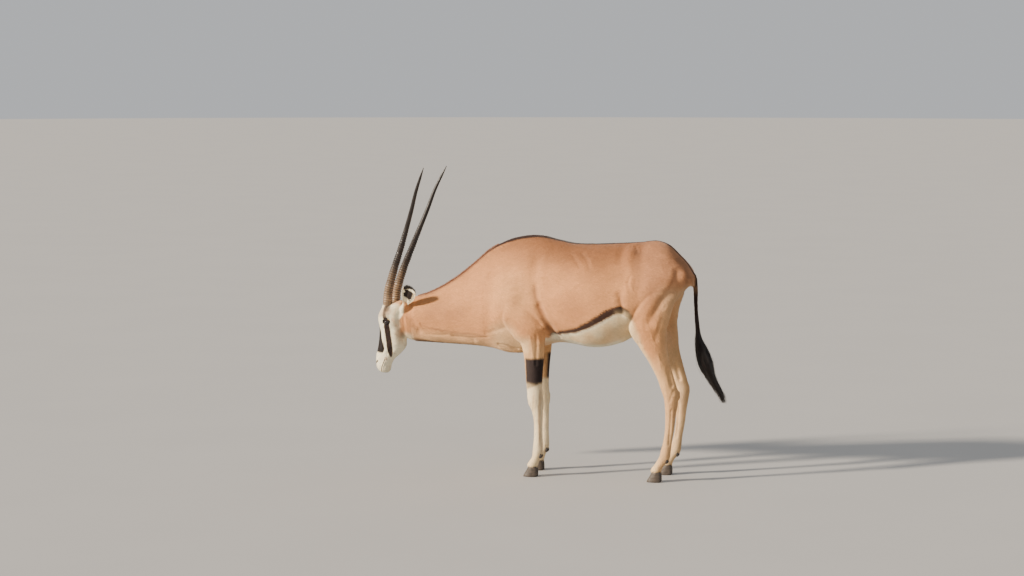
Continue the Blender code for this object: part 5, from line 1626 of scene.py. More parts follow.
    @staticmethod
    def piece(name: str, corners: Array, faces: Array) -> Piece:
        """Make one mesh of many equal small solids.

        Args:
            name: Name of the object.
            corners: Points of each solid.
            faces: Triangles of one solid by its point numbers.

        Returns:
            The new object.
        """
        count, each = corners.shape[:2]
        rows = (faces[None, :, :] + (np.arange(count) * each)[:, None, None]).reshape(-1, 3)
        mesh = bpy.data.meshes.new(name)
        mesh.vertices.add(count * each)
        mesh.vertices.foreach_set("co", np.ascontiguousarray(corners).ravel())
        mesh.loops.add(len(rows) * 3)
        mesh.loops.foreach_set("vertex_index", rows.ravel().astype(np.int32))
        mesh.polygons.add(len(rows))
        mesh.polygons.foreach_set("loop_start", (np.arange(len(rows)) * 3).astype(np.int32))
        mesh.update(calc_edges=True)
        mesh.validate()
        return Workshop.add(name, mesh)

    @staticmethod
    def map_patches(made: Piece, flat: Array, spot: Array, faces: Array) -> None:
        """Give each small solid its patch of the flat map at its root's place.

        Args:
            made: Piece with many equal solids.
            flat: Place of each root on the map.
            spot: Place of each point of a solid round its root's.
            faces: Triangles of one solid by its point numbers.
        """
        places = flat[:, None, :] + spot[faces.ravel()][None, :, :]
        map_corners(made, places.reshape(-1, 2))


class Strands:
    """Long tapered strands with three sides, made from their paths."""

    @staticmethod
    def build(name: str, paths: Array, widths: Array, across: Array) -> tuple[Piece, Array]:
        """Make strands along paths.

        Args:
            name: Name of the object.
            paths: Points of each strand, one row of points for each.
            widths: Width of each strand at its root.
            across: Direction of the width of each strand.

        Returns:
            The piece and the triangles of one strand.
        """
        count, steps = paths.shape[:2]
        slope = unit(np.gradient(paths, axis=1))
        side = unit(across[:, None, :] - slope * np.sum(slope * across[:, None, :], axis=2, keepdims=True))
        up = np.cross(slope, side)
        part = np.linspace(0, 1, steps)
        taper = (0.55 + 0.9 * part - 1.4 * part**2)[None, :, None] * widths[:, None, None]
        taper[:, -1] = widths[:, None] * 0.03
        rings = np.stack([paths + side * taper * 0.5, paths - side * taper * 0.5,
                          paths + up * taper * 0.45], 2)
        corners = rings.reshape(count, steps * 3, 3)
        faces = [(2, 1, 0)]
        for k in range(steps - 1):
            for a, b in ((0, 1), (1, 2), (2, 0)):
                faces += [(3 * k + a, 3 * k + b, 3 * k + 3 + b), (3 * k + a, 3 * k + 3 + b, 3 * k + 3 + a)]
        last = 3 * (steps - 1)
        faces.append((last, last + 1, last + 2))
        faces = np.array(faces)
        return Coat.piece(name, corners, faces), faces

    @staticmethod
    def dress(made: Piece, faces: Array, tints: Array, steps: int, flat: Array) -> None:
        """Colour strands from root to tip and map them.

        Args:
            made: The strands.
            faces: Triangles of one strand.
            tints: Root colour and tip colour of each strand.
            steps: Rings of a strand.
            flat: Place of each root on the flat map.
        """
        part = np.linspace(0, 1, steps)[None, :, None]
        rows = tints[:, None, 0, :] * (1.0 - part) + tints[:, None, 1, :] * part
        paint(made, np.clip(np.repeat(rows, 3, axis=1), 0.0, 1.0).reshape(-1, 3))
        spot = np.zeros((steps * 3, 2))
        for k in range(steps):
            shift = [0, 0.0022 * k / steps - PATCH]
            spot[3 * k:3 * k + 3] = np.array([[-PATCH, 0], [PATCH, 0], [0, 0.5 * PATCH]]) + shift
        Coat.map_patches(made, np.clip(flat, MAP_EDGE, 1.0 - MAP_EDGE), spot, faces)


@dataclass
class Ear:
    """One leaf shaped ear with its markings, its rim hair and the white hair inside."""

    place: EarPlace
    length: float = 0.142
    width: float = 0.07
    cup: float = 0.018
    wall: float = 0.0026
    start: float = 0.014
    outline: Line = ((0.0, 0.3), (0.1, 0.42), (0.24, 0.68), (0.36, 0.9), (0.52, 1.0), (0.7, 0.97),
                     (0.83, 0.83), (0.92, 0.62), (0.975, 0.38), (1.0, 0.1))
    rings: int = 46
    sides: int = 25
    hair_steps: int = 7
    hairs: tuple[int, ...] = (800, 240, 620, 420)

    def surface(self, part: Array, turn: Array, inner: Array) -> Array:
        """Return places of the ear in the plan frame.

        Args:
            part: From 0 at the root to 1 at the tip.
            turn: From -1 at the front edge to 1 at the rear edge.
            inner: 1 inside the cup and -1 on its back.

        Returns:
            Rows of x, y and z.
        """
        root, along, facing, side = self.place.axes()
        half = 0.5 * self.width * read_table(self.outline, part)
        cup = self.cup * np.sqrt(half / (0.5 * self.width)) * (1.0 - 0.35 * part)
        reach = self.start + (self.length - self.start) * part
        lift = -cup * (1.0 - turn**2) + inner * 0.5 * self.wall * (1.0 - 0.6 * np.abs(turn))
        lift += -0.002 + 0.01 * part**2 + 0.0012 * np.cos(turn * 9.0) * soft(part, 0.1, 0.4) * (inner > 0)
        return POSE.to_plan(root + np.outer(reach, along) + np.outer(half * turn, side)
                            + np.outer(lift, facing))

    @staticmethod
    def tints(part: Array, turn: Array, inner: Array) -> Array:
        """Return the colours of the ear at its places.

        Args:
            part: From 0 at the root to 1 at the tip.
            turn: From -1 at the front edge to 1 at the rear edge.
            inner: 1 inside the cup and -1 on its back.

        Returns:
            Rows of linear red, green and blue.
        """
        tint = Tint.plain(Tone.WHITE, len(part))
        tint.lay(Tone.CREAM, 0.6 * (inner < 0) * soft(part, 0.2, 0.6))
        tint.lay(Tone.CHEEK, 0.5 * (inner < 0) * soft(np.abs(turn), 0.5, 0.1) * soft(part, 0.3, 0.6))
        ragged = 0.07 * np.sin(part * 23.0 + turn * 3.0) + 0.05 * np.sin(part * 41.0)
        middle = soft(np.abs(turn - 0.04), 0.84 + ragged, 0.7 + ragged) * (inner > 0)
        middle = middle * soft(part + 0.1 * turn, 0.2, 0.3) * soft(part, 0.74 + ragged * 0.4, 0.68)
        tint.lay(Tone.EAR_INSIDE, middle)
        tint.lay(Tone.BLACK, soft(part - 0.1 * turn * (inner > 0) + 0.05 * np.abs(turn), 0.79, 0.83))
        return tint.rows

    def blade(self) -> Piece:
        """Make the cup of the ear as one closed skin.

        Returns:
            The cup.
        """
        steps = np.linspace(0, 1, self.rings) ** 0.9
        turns = np.linspace(-1, 1, self.sides)
        turn = np.concatenate([turns, turns[::-1]])
        inner = np.concatenate([-np.ones(self.sides), np.ones(self.sides)])
        rings, tints, flats = [], [], []
        for step in steps:
            part = np.full(2 * self.sides, step)
            rings.append(self.surface(part, turn, inner))
            tints.append(self.tints(part, turn, inner))
            flats.append(np.stack([0.25 * (turn + 1.0) + 0.5 * (inner > 0), part], -1) * 0.96 + 0.02)
        made = Workshop.loft("ear_" + self.place.side.word, rings)
        paint(made, np.concatenate(tints))
        map_corners(made, np.concatenate(flats)[read_mesh(made.data.loops, "vertex_index", kind=np.int64)])
        return made

    def hair(self, name: str) -> Piece:
        """Make the hair of the ear: a short white rim, a black tip, a white fringe inside and a fluffy root.

        Args:
            name: Name of the object.

        Returns:
            The strands.
        """
        chance = np.random.default_rng(SEED + 70 + self.place.side.value)
        rim, inside, fluff, back = self.hairs
        edge = np.sign(chance.normal(size=rim))
        part = np.concatenate([chance.uniform(0.04, 1.0, rim), chance.uniform(0.12, 0.72, inside),
                               chance.uniform(-0.1, 0.16, fluff), chance.uniform(0.05, 0.98, back)])
        turn = np.concatenate([edge * chance.uniform(0.9, 1.0, rim), chance.uniform(0.74, 0.98, inside),
                               chance.uniform(-1.0, 1.0, fluff), chance.uniform(-1.0, 1.0, back)])
        inner = np.concatenate([np.ones(rim + inside), -np.ones(fluff + back)])
        _, along, facing, side = self.place.axes()
        turned = POSE.to_plan(np.stack([along, facing, side, np.zeros(3)]))
        along, facing, side = turned[:3] - turned[3]
        roots = (self.surface(np.clip(part, 0.0, 1.0), turn, inner)
                 + np.outer(np.minimum(part, 0.0), along) * self.length)
        way = np.outer(np.ones(len(part)), along)
        way[:rim] += np.outer(edge * 0.55, side)
        way[rim:rim + inside] += np.outer(-0.9 * np.ones(inside), side) + facing * 0.25
        root = slice(rim + inside, rim + inside + fluff)
        way[root] += np.outer(turn[root] * 0.35, side) - facing * 0.12
        way = unit(way + chance.normal(0.0, 0.1, way.shape))
        long = np.concatenate([chance.uniform(0.006, 0.01, rim), chance.uniform(0.006, 0.011, inside),
                               chance.uniform(0.012, 0.02, fluff), chance.uniform(0.005, 0.008, back)])
        steps = self.hair_steps
        run = np.linspace(0, 1, steps)[None, :, None]
        bend = (np.outer(chance.normal(0.0, 0.12, len(part)), side)
                + np.outer(chance.normal(0.0, 0.08, len(part)), facing))
        outward = np.where(inner[:, None] > 0, facing, -facing)
        paths = (roots[:, None, :]
                 + (way[:, None, :] * run + bend[:, None, :] * run**2) * long[:, None, None])
        paths = paths + outward[:, None, :] * (0.001 * np.sin(run * math.pi) - 0.0004)
        wide = np.concatenate([np.full(rim, 0.0011), np.full(inside, 0.0011), np.full(fluff, 0.0013),
                               np.full(back, 0.001)])
        made, faces = Strands.build(name, paths, wide, np.cross(way, outward))
        tint = self.tints(np.clip(part, 0.0, 1.0), turn,
                          np.where(np.arange(len(part)) < rim + inside, -1.0, inner))
        tint *= 1.0 + chance.normal(0.0, 0.05, (len(part), 1))
        flat = (np.stack([0.25 * (turn + 1.0) + 0.5 * (inner > 0), np.clip(part, 0.0, 1.0)], -1) * 0.96
                + 0.02)
        Strands.dress(made, faces, np.stack([tint * 0.92, tint * 1.04], 1), steps, flat)
        return made

    def build(self, finish: Material) -> None:
        """Make the ear and its hair and put them in the row frame.

        Args:
            finish: Its material.
        """
        word = self.place.side.word
        place_in_row(self.blade(), finish, (word + "_ear",))
        place_in_row(self.hair("ear_hair_" + word), finish, ())


@dataclass(frozen=True)
class Horn:
    """One long horn, ridged with rings over its lower part and smooth to the tip."""

    side: Side
    path: Line = (
        (-0.7655, 0.04, 0.798), (-0.765, 0.0405, 0.818), (-0.764, 0.0412, 0.845), (-0.7555, 0.043, 0.9),
        (-0.722, 0.048, 1.0), (-0.681, 0.056, 1.1), (-0.641, 0.068, 1.2), (-0.602, 0.082, 1.3),
        (-0.566, 0.096, 1.4), (-0.5135, 0.116, 1.512),
    )
    radii: Line = (
        (0.0, 0.0215), (0.05, 0.0222), (0.11, 0.0215), (0.25, 0.0182), (0.39, 0.015), (0.54, 0.0125),
        (0.69, 0.0105), (0.84, 0.0082), (0.93, 0.006), (1.0, 0.0014),
    )
    ridges: int = 34
    ringed: Row = (0.045, 0.565)
    height: float = 0.0021
    steps_each: int = 9
    sides: int = 40
    upper: Row = (0.026, 0.018, 0.0145)
    # The horn's lighter ringed base, made brighter still as painted sunlight.
    lower: Row = (0.29, 0.185, 0.104)

    def build(self, finish: Material) -> None:
        """Make the horn and put it in the row frame.

        Args:
            finish: Its material.
        """
        low, high = self.ringed
        places = np.concatenate([np.linspace(0.0, low, 8)[:-1],
                                 np.linspace(low, high, self.ridges * self.steps_each),
                                 np.linspace(high, 1.0, 70)[1:]])
        path = POSE.to_plan(self.side.place(along_length(self.path, places)))
        radii = read_table(self.radii, places)
        phase = (places - low) / (high - low) * self.ridges
        phase = phase + 0.1 * np.sin(phase * 2.1) + 0.07 * np.sin(phase * 5.3 + 1.0)
        saw = np.abs((phase % 1.0) - 0.42) / 0.58
        ridge = np.where((places > low) & (places < high), 1.0 - 2.0 * np.clip(saw, 0.0, 1.0) ** 1.3, 0.0)
        fade = soft(places, low, low + 0.03) * soft(places, high, high - 0.1)
        radii = radii + self.height * ridge * (0.35 + 0.65 * fade) * (fade > 0)
        rings = tube_rings(path, radii, radii * 0.94, self.sides)
        around = round_angles(self.sides)
        wobble = 1.0 + 0.012 * np.sin(3.0 * around + 0.7) + 0.008 * np.sin(5.0 * around)
        rings = [centre + (ring - centre) * wobble[:, None] for ring, centre in zip(rings, path)]
        made = Workshop.loft("horn_" + self.side.word, rings)
        low_part = soft(places, 0.36, 0.05)[:, None]
        # Ridges lighter and the grooves between them darker as painted light and shade; the horn also darkens
        # towards its tip.
        shade = 0.8 + 0.42 * ridge * fade - 0.2 * soft(places, 0.3, 0.75) + 0.05 * np.sin(places * 90.0)
        tint = np.array(self.upper) * (1.0 - low_part) + np.array(self.lower) * low_part
        tint = tint * np.clip(shade, 0.16, 2.0)[:, None]
        paint(made, np.repeat(tint, self.sides, axis=0))
        place_in_row(made, finish, (self.side.word + "_horn",))


@dataclass(frozen=True)
class Eyeball:
    """One dark, wet eye with its long pupil."""

    side: Side
    white: Row = (0.03, 0.018, 0.013)
    iris: Row = (0.026, 0.012, 0.007)
    iris_radius: float = 0.01
    pupil_long: float = 0.0068
    pupil_high: float = 0.0042
    bulge: float = 0.0012

    def build(self, finish: Material) -> None:
        """Make the eyeball and put it in the row frame.

        Args:
            finish: Its material.
        """
        made = Workshop.ball("eye_" + self.side.word, 64, 40, EYES.radius)
        own = Workshop.points(made)
        aside = own[:, 1] * self.side.value
        own[:, 1] += (self.side.value * self.bulge * soft(np.hypot(own[:, 0], own[:, 2]), 0.0095, 0.0)
                      * (aside > 0))
        pupil = np.hypot(own[:, 0] / self.pupil_long, own[:, 2] / self.pupil_high)
        iris = soft(np.hypot(own[:, 0], own[:, 2]) / self.iris_radius, 1.05, 0.95)[:, None]
        tint = np.array(self.white) * (1.0 - iris) + np.array(self.iris) * iris
        tint = tint * (1.0 - 0.93 * soft(pupil, 1.1, 0.92)[:, None] * (aside > 0)[:, None])
        paint(made, tint)
        Workshop.move(made, POSE.to_plan(own + EYES.centre(self.side)))
        place_in_row(made, finish, (self.side.word + "_eye",))


@dataclass(frozen=True)
class Foot:
    """The two claws and the two dewclaws of one foot."""

    word: str
    side: Side
    middle: Row
    dew: Row
    length: float = 0.068
    width: float = 0.026
    cleft: float = 0.004
    levels: Line = ((0.0, 0.985, 0.97, -0.004), (0.0015, 1.0, 1.0, -0.004), (0.01, 0.99, 1.0, -0.002),
                    (0.026, 0.84, 0.97, 0.003), (0.04, 0.7, 0.89, 0.006), (0.05, 0.62, 0.8, 0.008))
    sides: int = 48
    dew_size: Row = (0.0085, 0.0075, 0.0125)
    dew_level: float = 0.104
    dew_aside: float = 0.0125
    colour: Row = (0.085, 0.066, 0.052)
    dew_colour: Row = (0.05, 0.04, 0.034)
    growth: float = 1900.0

    def _node(self, outer: bool) -> str:
        """Return the name of the solid that a claw stands for."""
        return "{}_{}_{}_claw".format(self.word, self.side.word, "outer" if outer else "inner")

    def _claw(self, outer: bool) -> Piece:
        """Make one claw, flat below, with fine growth rings.

        Args:
            outer: Whether it is the outer claw.

        Returns:
            The claw.
        """
        out = 1 if outer else -1
        hand = self.side.value
        centre_y = hand * (self.middle[1] + out * (self.width + self.cleft) * 0.5)
        turn = round_angles(self.sides)
        x, y = -np.cos(turn), np.sin(turn)
        toe = np.maximum(0.0, -x)
        levels = np.concatenate([[0.0], np.linspace(0.0015, 0.05, 34)])
        rings = []
        for level in levels:
            long, broad, back = (read_table(self.levels, level, column) for column in (1, 2, 3))
            grow = 1.0 + 0.01 * math.sin(level * self.growth) * (level > 0.004)
            half = 0.5 * self.width * broad * (1.0 - 0.45 * toe * toe) * grow
            place = half * power(y, 0.8) - out * 0.1 * self.width * toe
            rings.append(np.stack([self.middle[0] + back + 0.5 * self.length * long * grow * x,
                                   centre_y + hand * place, np.full(self.sides, level)], -1))
        made = Workshop.loft("hoof_" + self._node(outer), rings)
        points = Workshop.points(made)
        shade = 0.85 + 0.1 * np.sin(points[:, 2] * self.growth) + 0.1 * noise(points, 0.02, 31)
        shade = shade * (1.0 - 0.35 * soft(points[:, 2], 0.01, 0.0))
        paint(made, np.clip(np.array(self.colour) * shade[:, None], 0.0, 1.0))
        return made

    def _dewclaws(self) -> Piece:
        """Make the two small blunt claws behind the fetlock.

        Returns:
            Both in one object.
        """
        nubs = []
        for aside in (-self.dew_aside, self.dew_aside):
            nub = Workshop.ball("dewclaw", 24, 14, 1.0)
            place = (self.dew[0], (self.dew[1] + aside) * self.side.value, self.dew_level)
            nub.data.transform(Matrix.Translation(place) @ Matrix.Diagonal((*self.dew_size, 1.0)))
            nubs.append(nub)
        made = Workshop.join("dewclaws_{}_{}".format(self.word, self.side.word), nubs)
        paint(made, np.tile(self.dew_colour, (len(made.data.vertices), 1)))
        return made

    def build(self, finish: Material) -> None:
        """Make the claws and dewclaws and put them in the row frame.

        Args:
            finish: Its material.
        """
        for outer in (True, False):
            place_in_row(self._claw(outer), finish, (self._node(outer),))
        place_in_row(self._dewclaws(), finish, ())


@dataclass(frozen=True)
class Mane:
    """The short red-brown mane that stands along the nape."""

    trunk: Trunk
    zones: Zones
    start: float = -0.622
    end: float = -0.205
    height: float = 0.0125
    count: int = 2600
    steps: int = 6

    def build(self, finish: Material) -> None:
        """Make the mane and put it in the row frame.

        Args:
            finish: Its material.
        """
        chance = np.random.default_rng(SEED + 90)
        x = chance.uniform(self.start, self.end, self.count)
        y = np.clip(chance.normal(0.0, 0.003, self.count), -0.0065, 0.0065)
        part = (x - self.start) / (self.end - self.start)
        rise = (self.height * (0.45 + 0.55 * np.sin(math.pi * part) ** 0.5)
                * chance.uniform(0.65, 1.05, self.count))
        roots = np.stack([x, y, self.trunk.level(x, 1) - 0.005 - 4.0 * np.abs(y) * 0.4], -1)
        read = self.trunk.read()
        tilt = np.interp(x, read[:, 0], np.gradient(read[:, 1]) / np.gradient(read[:, 0]))
        along = unit(np.stack([np.ones(self.count), np.zeros(self.count), tilt], -1))
        up = np.stack([-along[:, 2], np.zeros(self.count), along[:, 0]], -1)
        run = np.linspace(0, 1, self.steps)[None, :, None]
        lean = chance.uniform(0.3, 0.62, self.count)[:, None, None]
        aside = np.stack([np.zeros(self.count), 0.7 * y + chance.normal(0.0, 0.0012, self.count),
                          np.zeros(self.count)], -1)
        paths = (roots[:, None, :]
                 + up[:, None, :] * run * (rise + 0.005)[:, None, None] * (1.0 - 0.15 * run))
        paths = (paths + along[:, None, :] * lean * run**1.5 * rise[:, None, None] * 1.3
                 + aside[:, None, :] * run)
        made, faces = Strands.build("mane", paths, np.full(self.count, 0.0016), along)
        dark = chance.uniform(0.75, 1.15, (self.count, 1))
        tip = Tone.NAPE.linear() * dark
        root = Tone.NAPE.linear() * 0.8 * dark
        Strands.dress(made, faces, np.stack([root, tip], 1), self.steps,
                      self.zones.unroll(roots, Zone.NECK))
        place_in_row(made, finish, ("nape_mane",))


@dataclass(frozen=True)
class TailTuft:
    """The long dark tuft that starts on the lower stem and sweeps back to its tip."""

    path: Line = (
        (0.7778, 0.0, 0.81), (0.782, 0.0, 0.765), (0.786, 0.0, 0.7244), (0.7904, 0.0, 0.685),
        (0.806, 0.0, 0.63), (0.825, 0.0, 0.57), (0.85, 0.0, 0.508), (0.88, 0.0, 0.456),
        (0.904, 0.0, 0.415), (0.916, 0.0, 0.38),
    )
    radii: Row = (0.0095, 0.01, 0.011, 0.017, 0.031, 0.037, 0.023, 0.016, 0.011, 0.002)
    count: int = 1700
    steps: int = 13

    def _core(self) -> Piece:
        """Make the close packed middle of the tuft.

        Returns:
            The core.
        """
        places = np.linspace(0.12, 0.86, 40)
        thick = run_of(self.radii, places) * 0.55
        thick[-1] = 0.0005
        return Workshop.loft("tuft_core", tube_rings(through(self.path, places), thick, thick * 0.9, 20))

    def build(self, finish: Material) -> None:
        """Make the tuft and put it in the row frame.

        Args:
            finish: Its material.
        """
        chance = np.random.default_rng(SEED + 95)
        start = chance.uniform(0.0, 0.6, self.count) ** 1.15
        end = np.clip(start + chance.uniform(0.3, 0.6, self.count), 0.45, 1.0)
        reach = np.sqrt(chance.uniform(0.1, 1.0, self.count))
        turn = chance.uniform(0.0, FULL_TURN, self.count)
        run = np.linspace(0, 1, self.steps)
        places = start[:, None] + (end - start)[:, None] * run[None, :]
        centre = through(self.path, places.ravel()).reshape(self.count, self.steps, 3)
        wide = run_of(self.radii, places.ravel()).reshape(self.count, self.steps)
        stem = np.minimum(0.0095, wide)
        out = stem + (wide * reach[:, None] - stem) * soft(run, 0.0, 0.35)[None, :]
        out = np.maximum(out, 0.0006) * (1.0 + 0.05 * np.sin(run * 6.0 + turn[:, None] * 3.0))
        slope = unit(np.gradient(centre, axis=1))
        side = np.array([0.0, 1.0, 0.0])
        fore = np.cross(slope, side)
        swirl = turn[:, None] + 0.35 * run[None, :] * np.sin(turn * 2.0 + 1.0)[:, None]
        paths = (centre + (np.cos(swirl) * out)[:, :, None] * fore
                 + (0.92 * np.sin(swirl) * out)[:, :, None] * side)
        paths[:, :, 1] += chance.normal(0.0, 0.006, self.count)[:, None] * run[None, :] ** 2
        paths[:, :, 0] += chance.normal(0.0, 0.007, self.count)[:, None] * run[None, :] ** 2
        across = np.cross(slope[:, 0], unit(paths[:, 0] - centre[:, 0] + 1e-6))
        made, faces = Strands.build("tuft_of_tail", paths, chance.uniform(0.0016, 0.003, self.count),
                                    unit(across + 1e-6))
        dark = chance.uniform(0.7, 1.3, (self.count, 1))
        brown = soft(start, 0.16, 0.02)[:, None]
        root = (Tone.STEM.linear() * brown + Tone.TUFT.linear() * (1.0 - brown)) * dark
        tip = Tone.TUFT.linear() * dark * 1.1
        flat = np.stack([turn / FULL_TURN, start / 0.7], -1)
        Strands.dress(made, faces, np.stack([root, tip], 1), self.steps, flat)
        core = self._core()
        paint(core, np.tile(Tone.TUFT.linear() * 0.7, (len(core.data.vertices), 1)))
        place_in_row(core, finish, ())
        place_in_row(made, finish, ("tail_tuft",))


EVEN = (1.0, 1.0, 1.0)


@dataclass(frozen=True)
class Grain:
    """One noise of a finish: scale, octaves, stretch, and its range, or the depth and strength of a bump."""

    scale: float
    detail: float
    stretch: Row
    low: float
    high: float


@dataclass(frozen=True)
class Finish:
    """One finish: the colour of the mesh or a plain one, changed by grains, and how rough and bumpy it is."""

    name: str
    shades: tuple[Grain, ...]
    roughness: tuple[Grain, ...] = ()
    bumps: tuple[Grain, ...] = ()
    values: tuple[tuple[str, float], ...] = ()
    colour: Row = ()

    def make(self) -> Material:
        """Build the material.

        Returns:
            The material with its nodes.
        """
        made = bpy.data.materials.new(self.name)
        made.use_nodes = True
        tree = made.node_tree
        sockets = {"Base Color": self._colour(tree)}
        for grain in self.shades:
            inputs = {0: sockets["Base Color"], "Scale": self._spread(tree, grain)}
            sockets["Base Color"] = self._node(tree, "ShaderNodeVectorMath", inputs,
                                               operation="SCALE").outputs["Vector"]
        for grain in self.roughness:
            sockets["Roughness"] = self._spread(tree, grain)
        for grain in self.bumps:
            inputs = {"Height": self._noise(tree, grain), "Distance": grain.low, "Strength": grain.high}
            if "Normal" in sockets:
                inputs["Normal"] = sockets["Normal"]
            sockets["Normal"] = self._node(tree, "ShaderNodeBump", inputs).outputs["Normal"]
        self._fill(tree, tree.nodes["Principled BSDF"], {**sockets, **dict(self.values)})
        return made

    def _colour(self, tree: bpy.types.NodeTree) -> Socket:
        """Return the plain colour, or else the one that is stored on the mesh.

        Args:
            tree: Nodes of the material.

        Returns:
            The socket of the colour.
        """
        if not self.colour:
            return self._node(tree, "ShaderNodeAttribute", {}, attribute_name="tint").outputs["Color"]
        tone = self._node(tree, "ShaderNodeRGB", {}).outputs[0]
        tone.default_value = (*self.colour, 1.0)
        return tone

    @classmethod
    def _noise(cls, tree: bpy.types.NodeTree, grain: Grain) -> Socket:
        """Return noise over the object's own place.

        Args:
            tree: Nodes of the material.
            grain: Scale, octaves and stretch.

        Returns:
            The socket of the noise.
        """
        place = cls._node(tree, "ShaderNodeTexCoord", {}).outputs["Object"]
        shift = cls._node(tree, "ShaderNodeMapping",
                          {"Vector": place, "Scale": grain.stretch}).outputs["Vector"]
        inputs = {"Vector": shift, "Scale": grain.scale, "Detail": grain.detail}
        return cls._node(tree, "ShaderNodeTexNoise", inputs).outputs["Fac"]

    @classmethod
    def _spread(cls, tree: bpy.types.NodeTree, grain: Grain) -> Socket:
        """Return noise with its middle part spread to the grain's range.

        Args:
            tree: Nodes of the material.
            grain: The noise and its range.

        Returns:
            The socket of the value.
        """
        inputs = {"Value": cls._noise(tree, grain), "From Min": 0.3, "From Max": 0.7, "To Min": grain.low,
                  "To Max": grain.high}
        return cls._node(tree, "ShaderNodeMapRange", inputs).outputs["Result"]

    @classmethod
    def _node(cls, tree: bpy.types.NodeTree, kind: str, inputs: dict, **settings: str) -> bpy.types.Node:
        """Add a node.

        Args:
            tree: Nodes of the material.
            kind: Blender's name of the node.
            inputs: Sockets to join, or plain values, by input.
            **settings: Properties of the node.

        Returns:
            The node.
        """
        node = tree.nodes.new(kind)
        for name, value in settings.items():
            setattr(node, name, value)
        cls._fill(tree, node, inputs)
        return node

    @staticmethod
    def _fill(tree: bpy.types.NodeTree, node: bpy.types.Node, inputs: dict) -> None:
        """Join or set inputs of a node.

        Args:
            tree: Nodes of the material.
            node: The node.
            inputs: Sockets to join, or plain values, by input.
        """
        for name, value in inputs.items():
            if isinstance(value, Socket):
                tree.links.new(value, node.inputs[name])
            else:
                node.inputs[name].default_value = value


COAT = Finish("coat", (Grain(420.0, 3.0, (0.35, 1.0, 1.0), 0.9, 1.09), Grain(14.0, 4.0, EVEN, 0.94, 1.05)),
              (Grain(60.0, 3.0, EVEN, 0.73, 0.85),),
              (Grain(520.0, 3.0, (0.3, 1.0, 1.0), 0.0012, 0.45),
               Grain(55.0, 3.0, (0.8, 1.0, 1.0), 0.0035, 0.25)),
              (("Sheen Weight", 0.12), ("Sheen Roughness", 0.5), ("Specular IOR Level", 0.25)))
MANE_HAIR, TUFT_HAIR = (
    Finish(name, (Grain(260.0, 3.0, (1.0, 1.0, 0.2), 0.8, 1.18),),
           (Grain(300.0, 2.0, (1.0, 1.0, 0.3), low, high),),
           (Grain(700.0, 2.0, (1.0, 1.0, 0.15), 0.0006, 0.35),),
           (("Sheen Weight", 0.08), ("Specular IOR Level", 0.45)))
    for name, low, high in (("mane hair", 0.49, 0.65), ("tuft hair", 0.36, 0.52)))
HORN = Finish("horn",
              (Grain(90.0, 5.0, (1.0, 1.0, 0.1), 0.72, 1.22),
               Grain(22.0, 5.0, (1.0, 1.0, 0.6), 0.75, 1.25)),
              (Grain(40.0, 4.0, EVEN, 0.3, 0.56),),
              (Grain(150.0, 4.0, (1.0, 1.0, 0.12), 0.001, 0.55),
               Grain(35.0, 4.0, (1.0, 1.0, 1.6), 0.0022, 0.35)),
              (("Specular IOR Level", 0.45),))
HOOF = Finish("hoof", (Grain(110.0, 5.0, (0.5, 1.0, 1.0), 0.72, 1.35),),
              (Grain(80.0, 4.0, EVEN, 0.46, 0.76),),
              (Grain(240.0, 4.0, (0.3, 1.0, 1.0), 0.0008, 0.5),), (("Specular IOR Level", 0.4),))
EYE = Finish("eye", (Grain(420.0, 3.0, (1.0, 0.2, 1.0), 0.75, 1.3),),
             values=(("Roughness", 0.16), ("Coat Weight", 1.0), ("Coat Roughness", 0.03), ("IOR", 1.38)))
FLOOR = Finish("studio floor", (Grain(1.3, 4.0, EVEN, 0.985, 1.015),),
               values=(("Roughness", 0.85), ("Specular IOR Level", 0.2)), colour=(0.48, 0.472, 0.458))


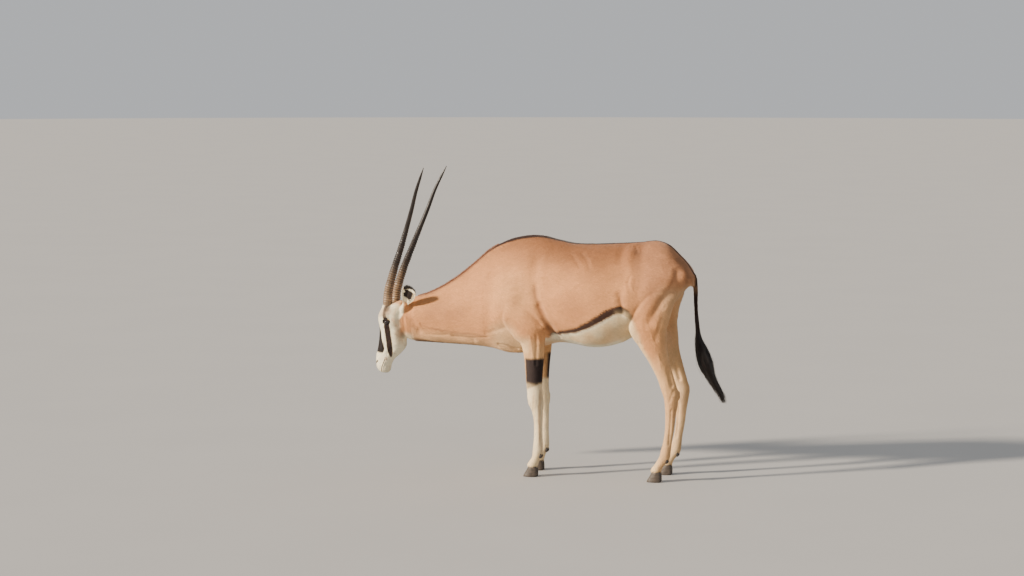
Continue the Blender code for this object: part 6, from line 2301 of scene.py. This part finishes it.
@dataclass(frozen=True)
class Studio:
    """The pale floor, the soft light and the camera of the photo."""

    floor_radius: float = 60.0
    distance: float = 12.0
    height: float = 2.11
    pitch: float = math.radians(5.66)
    yaw: float = math.radians(13.5)
    aside: float = 0.1369
    lens: float = 86.27
    sensor: float = 36.0
    view_end: float = 500.0
    key_from: Row = (-0.76, -0.525, 0.385)
    key_strength: float = 7.6
    key_softness: float = math.radians(5.0)
    key_colour: Row = (1.0, 0.865, 0.7)
    world: Row = (0.88, 0.9, 0.93)
    world_strength: float = 0.6

    def floor(self) -> None:
        """Lay the floor."""
        mesh = bpy.data.meshes.new("floor")
        work = bmesh.new()
        bmesh.ops.create_circle(work, cap_ends=True, segments=96, radius=self.floor_radius)
        work.to_mesh(mesh)
        work.free()
        mesh.materials.append(FLOOR.make())
        made = Workshop.add("floor", mesh)

    def light(self) -> None:
        """Set a soft key light from the left front and an even sky."""
        lamp = bpy.data.lights.new("key", "SUN")
        lamp.energy = self.key_strength
        lamp.angle = self.key_softness
        lamp.color = self.key_colour
        key = Workshop.add("key", lamp)
        key.rotation_mode = "QUATERNION"
        key.rotation_quaternion = Vector(self.key_from).to_track_quat("Z", "Y")
        world = bpy.data.worlds.new("studio")
        world.use_nodes = True
        sky = world.node_tree.nodes["Background"]
        sky.inputs["Color"].default_value = (*self.world, 1.0)
        sky.inputs["Strength"].default_value = self.world_strength
        bpy.context.scene.world = world

    def camera(self) -> None:
        """Stand the camera where the photo was taken from."""
        lens = bpy.data.cameras.new("camera")
        lens.lens = self.lens
        lens.sensor_width = self.sensor
        lens.clip_end = self.view_end
        made = Workshop.add("camera", lens)
        sine, cosine = math.sin(self.yaw), math.cos(self.yaw)
        made.location = (-self.aside * cosine + self.distance * sine + SHIFT_X,
                         -self.aside * sine - self.distance * cosine, self.height)
        ahead = Vector((-sine * math.cos(self.pitch), cosine * math.cos(self.pitch), -math.sin(self.pitch)))
        made.rotation_mode = "QUATERNION"
        made.rotation_quaternion = ahead.to_track_quat("-Z", "Y")
        bpy.context.scene.camera = made


def main() -> None:
    """Build the animal's looks piece by piece."""
    logging.basicConfig(level=logging.INFO, format="%(message)s")
    trunk = Trunk()
    legs = {Zone.FORE_LEFT: Leg(FORELEG_ROWS, Side.LEFT),
            Zone.FORE_RIGHT: Leg(FORELEG_ROWS, Side.RIGHT, FAR_FORE_STEP),
            Zone.HIND_LEFT: Leg(HINDLEG_ROWS, Side.LEFT),
            Zone.HIND_RIGHT: Leg(HINDLEG_ROWS, Side.RIGHT, FAR_HIND_STEP)}
    zones = Zones(legs, trunk)
    markings = Markings(zones, trunk)
    coat_finish, horn_finish, hoof_finish, eye_finish = (one.make() for one in (COAT, HORN, HOOF, EYE))

    sculpt = Skin(trunk, legs, zones, markings)
    skin = sculpt.build()
    coat = Coat(skin, zones, markings, Lie(zones))
    for plan in coat.plans:
        coat.build(plan, coat_finish)
    sculpt.dress(skin, coat_finish)
    for place in (NEAR_EAR, FAR_EAR):
        Ear(place).build(coat_finish)
    Mane(trunk, zones).build(MANE_HAIR.make())
    TailTuft().build(TUFT_HAIR.make())
    for side in Side:
        Horn(side).build(horn_finish)
        Eyeball(side).build(eye_finish)
        for word, far_step, claws, dewclaws, out in FEET:
            step = far_step if side is Side.RIGHT else 0.0
            Foot(word, side, (claws + step, out), (dewclaws + step, out)).build(hoof_finish)

    studio = Studio()
    studio.floor()
    studio.light()
    studio.camera()


if __name__ == "__main__":
    main()
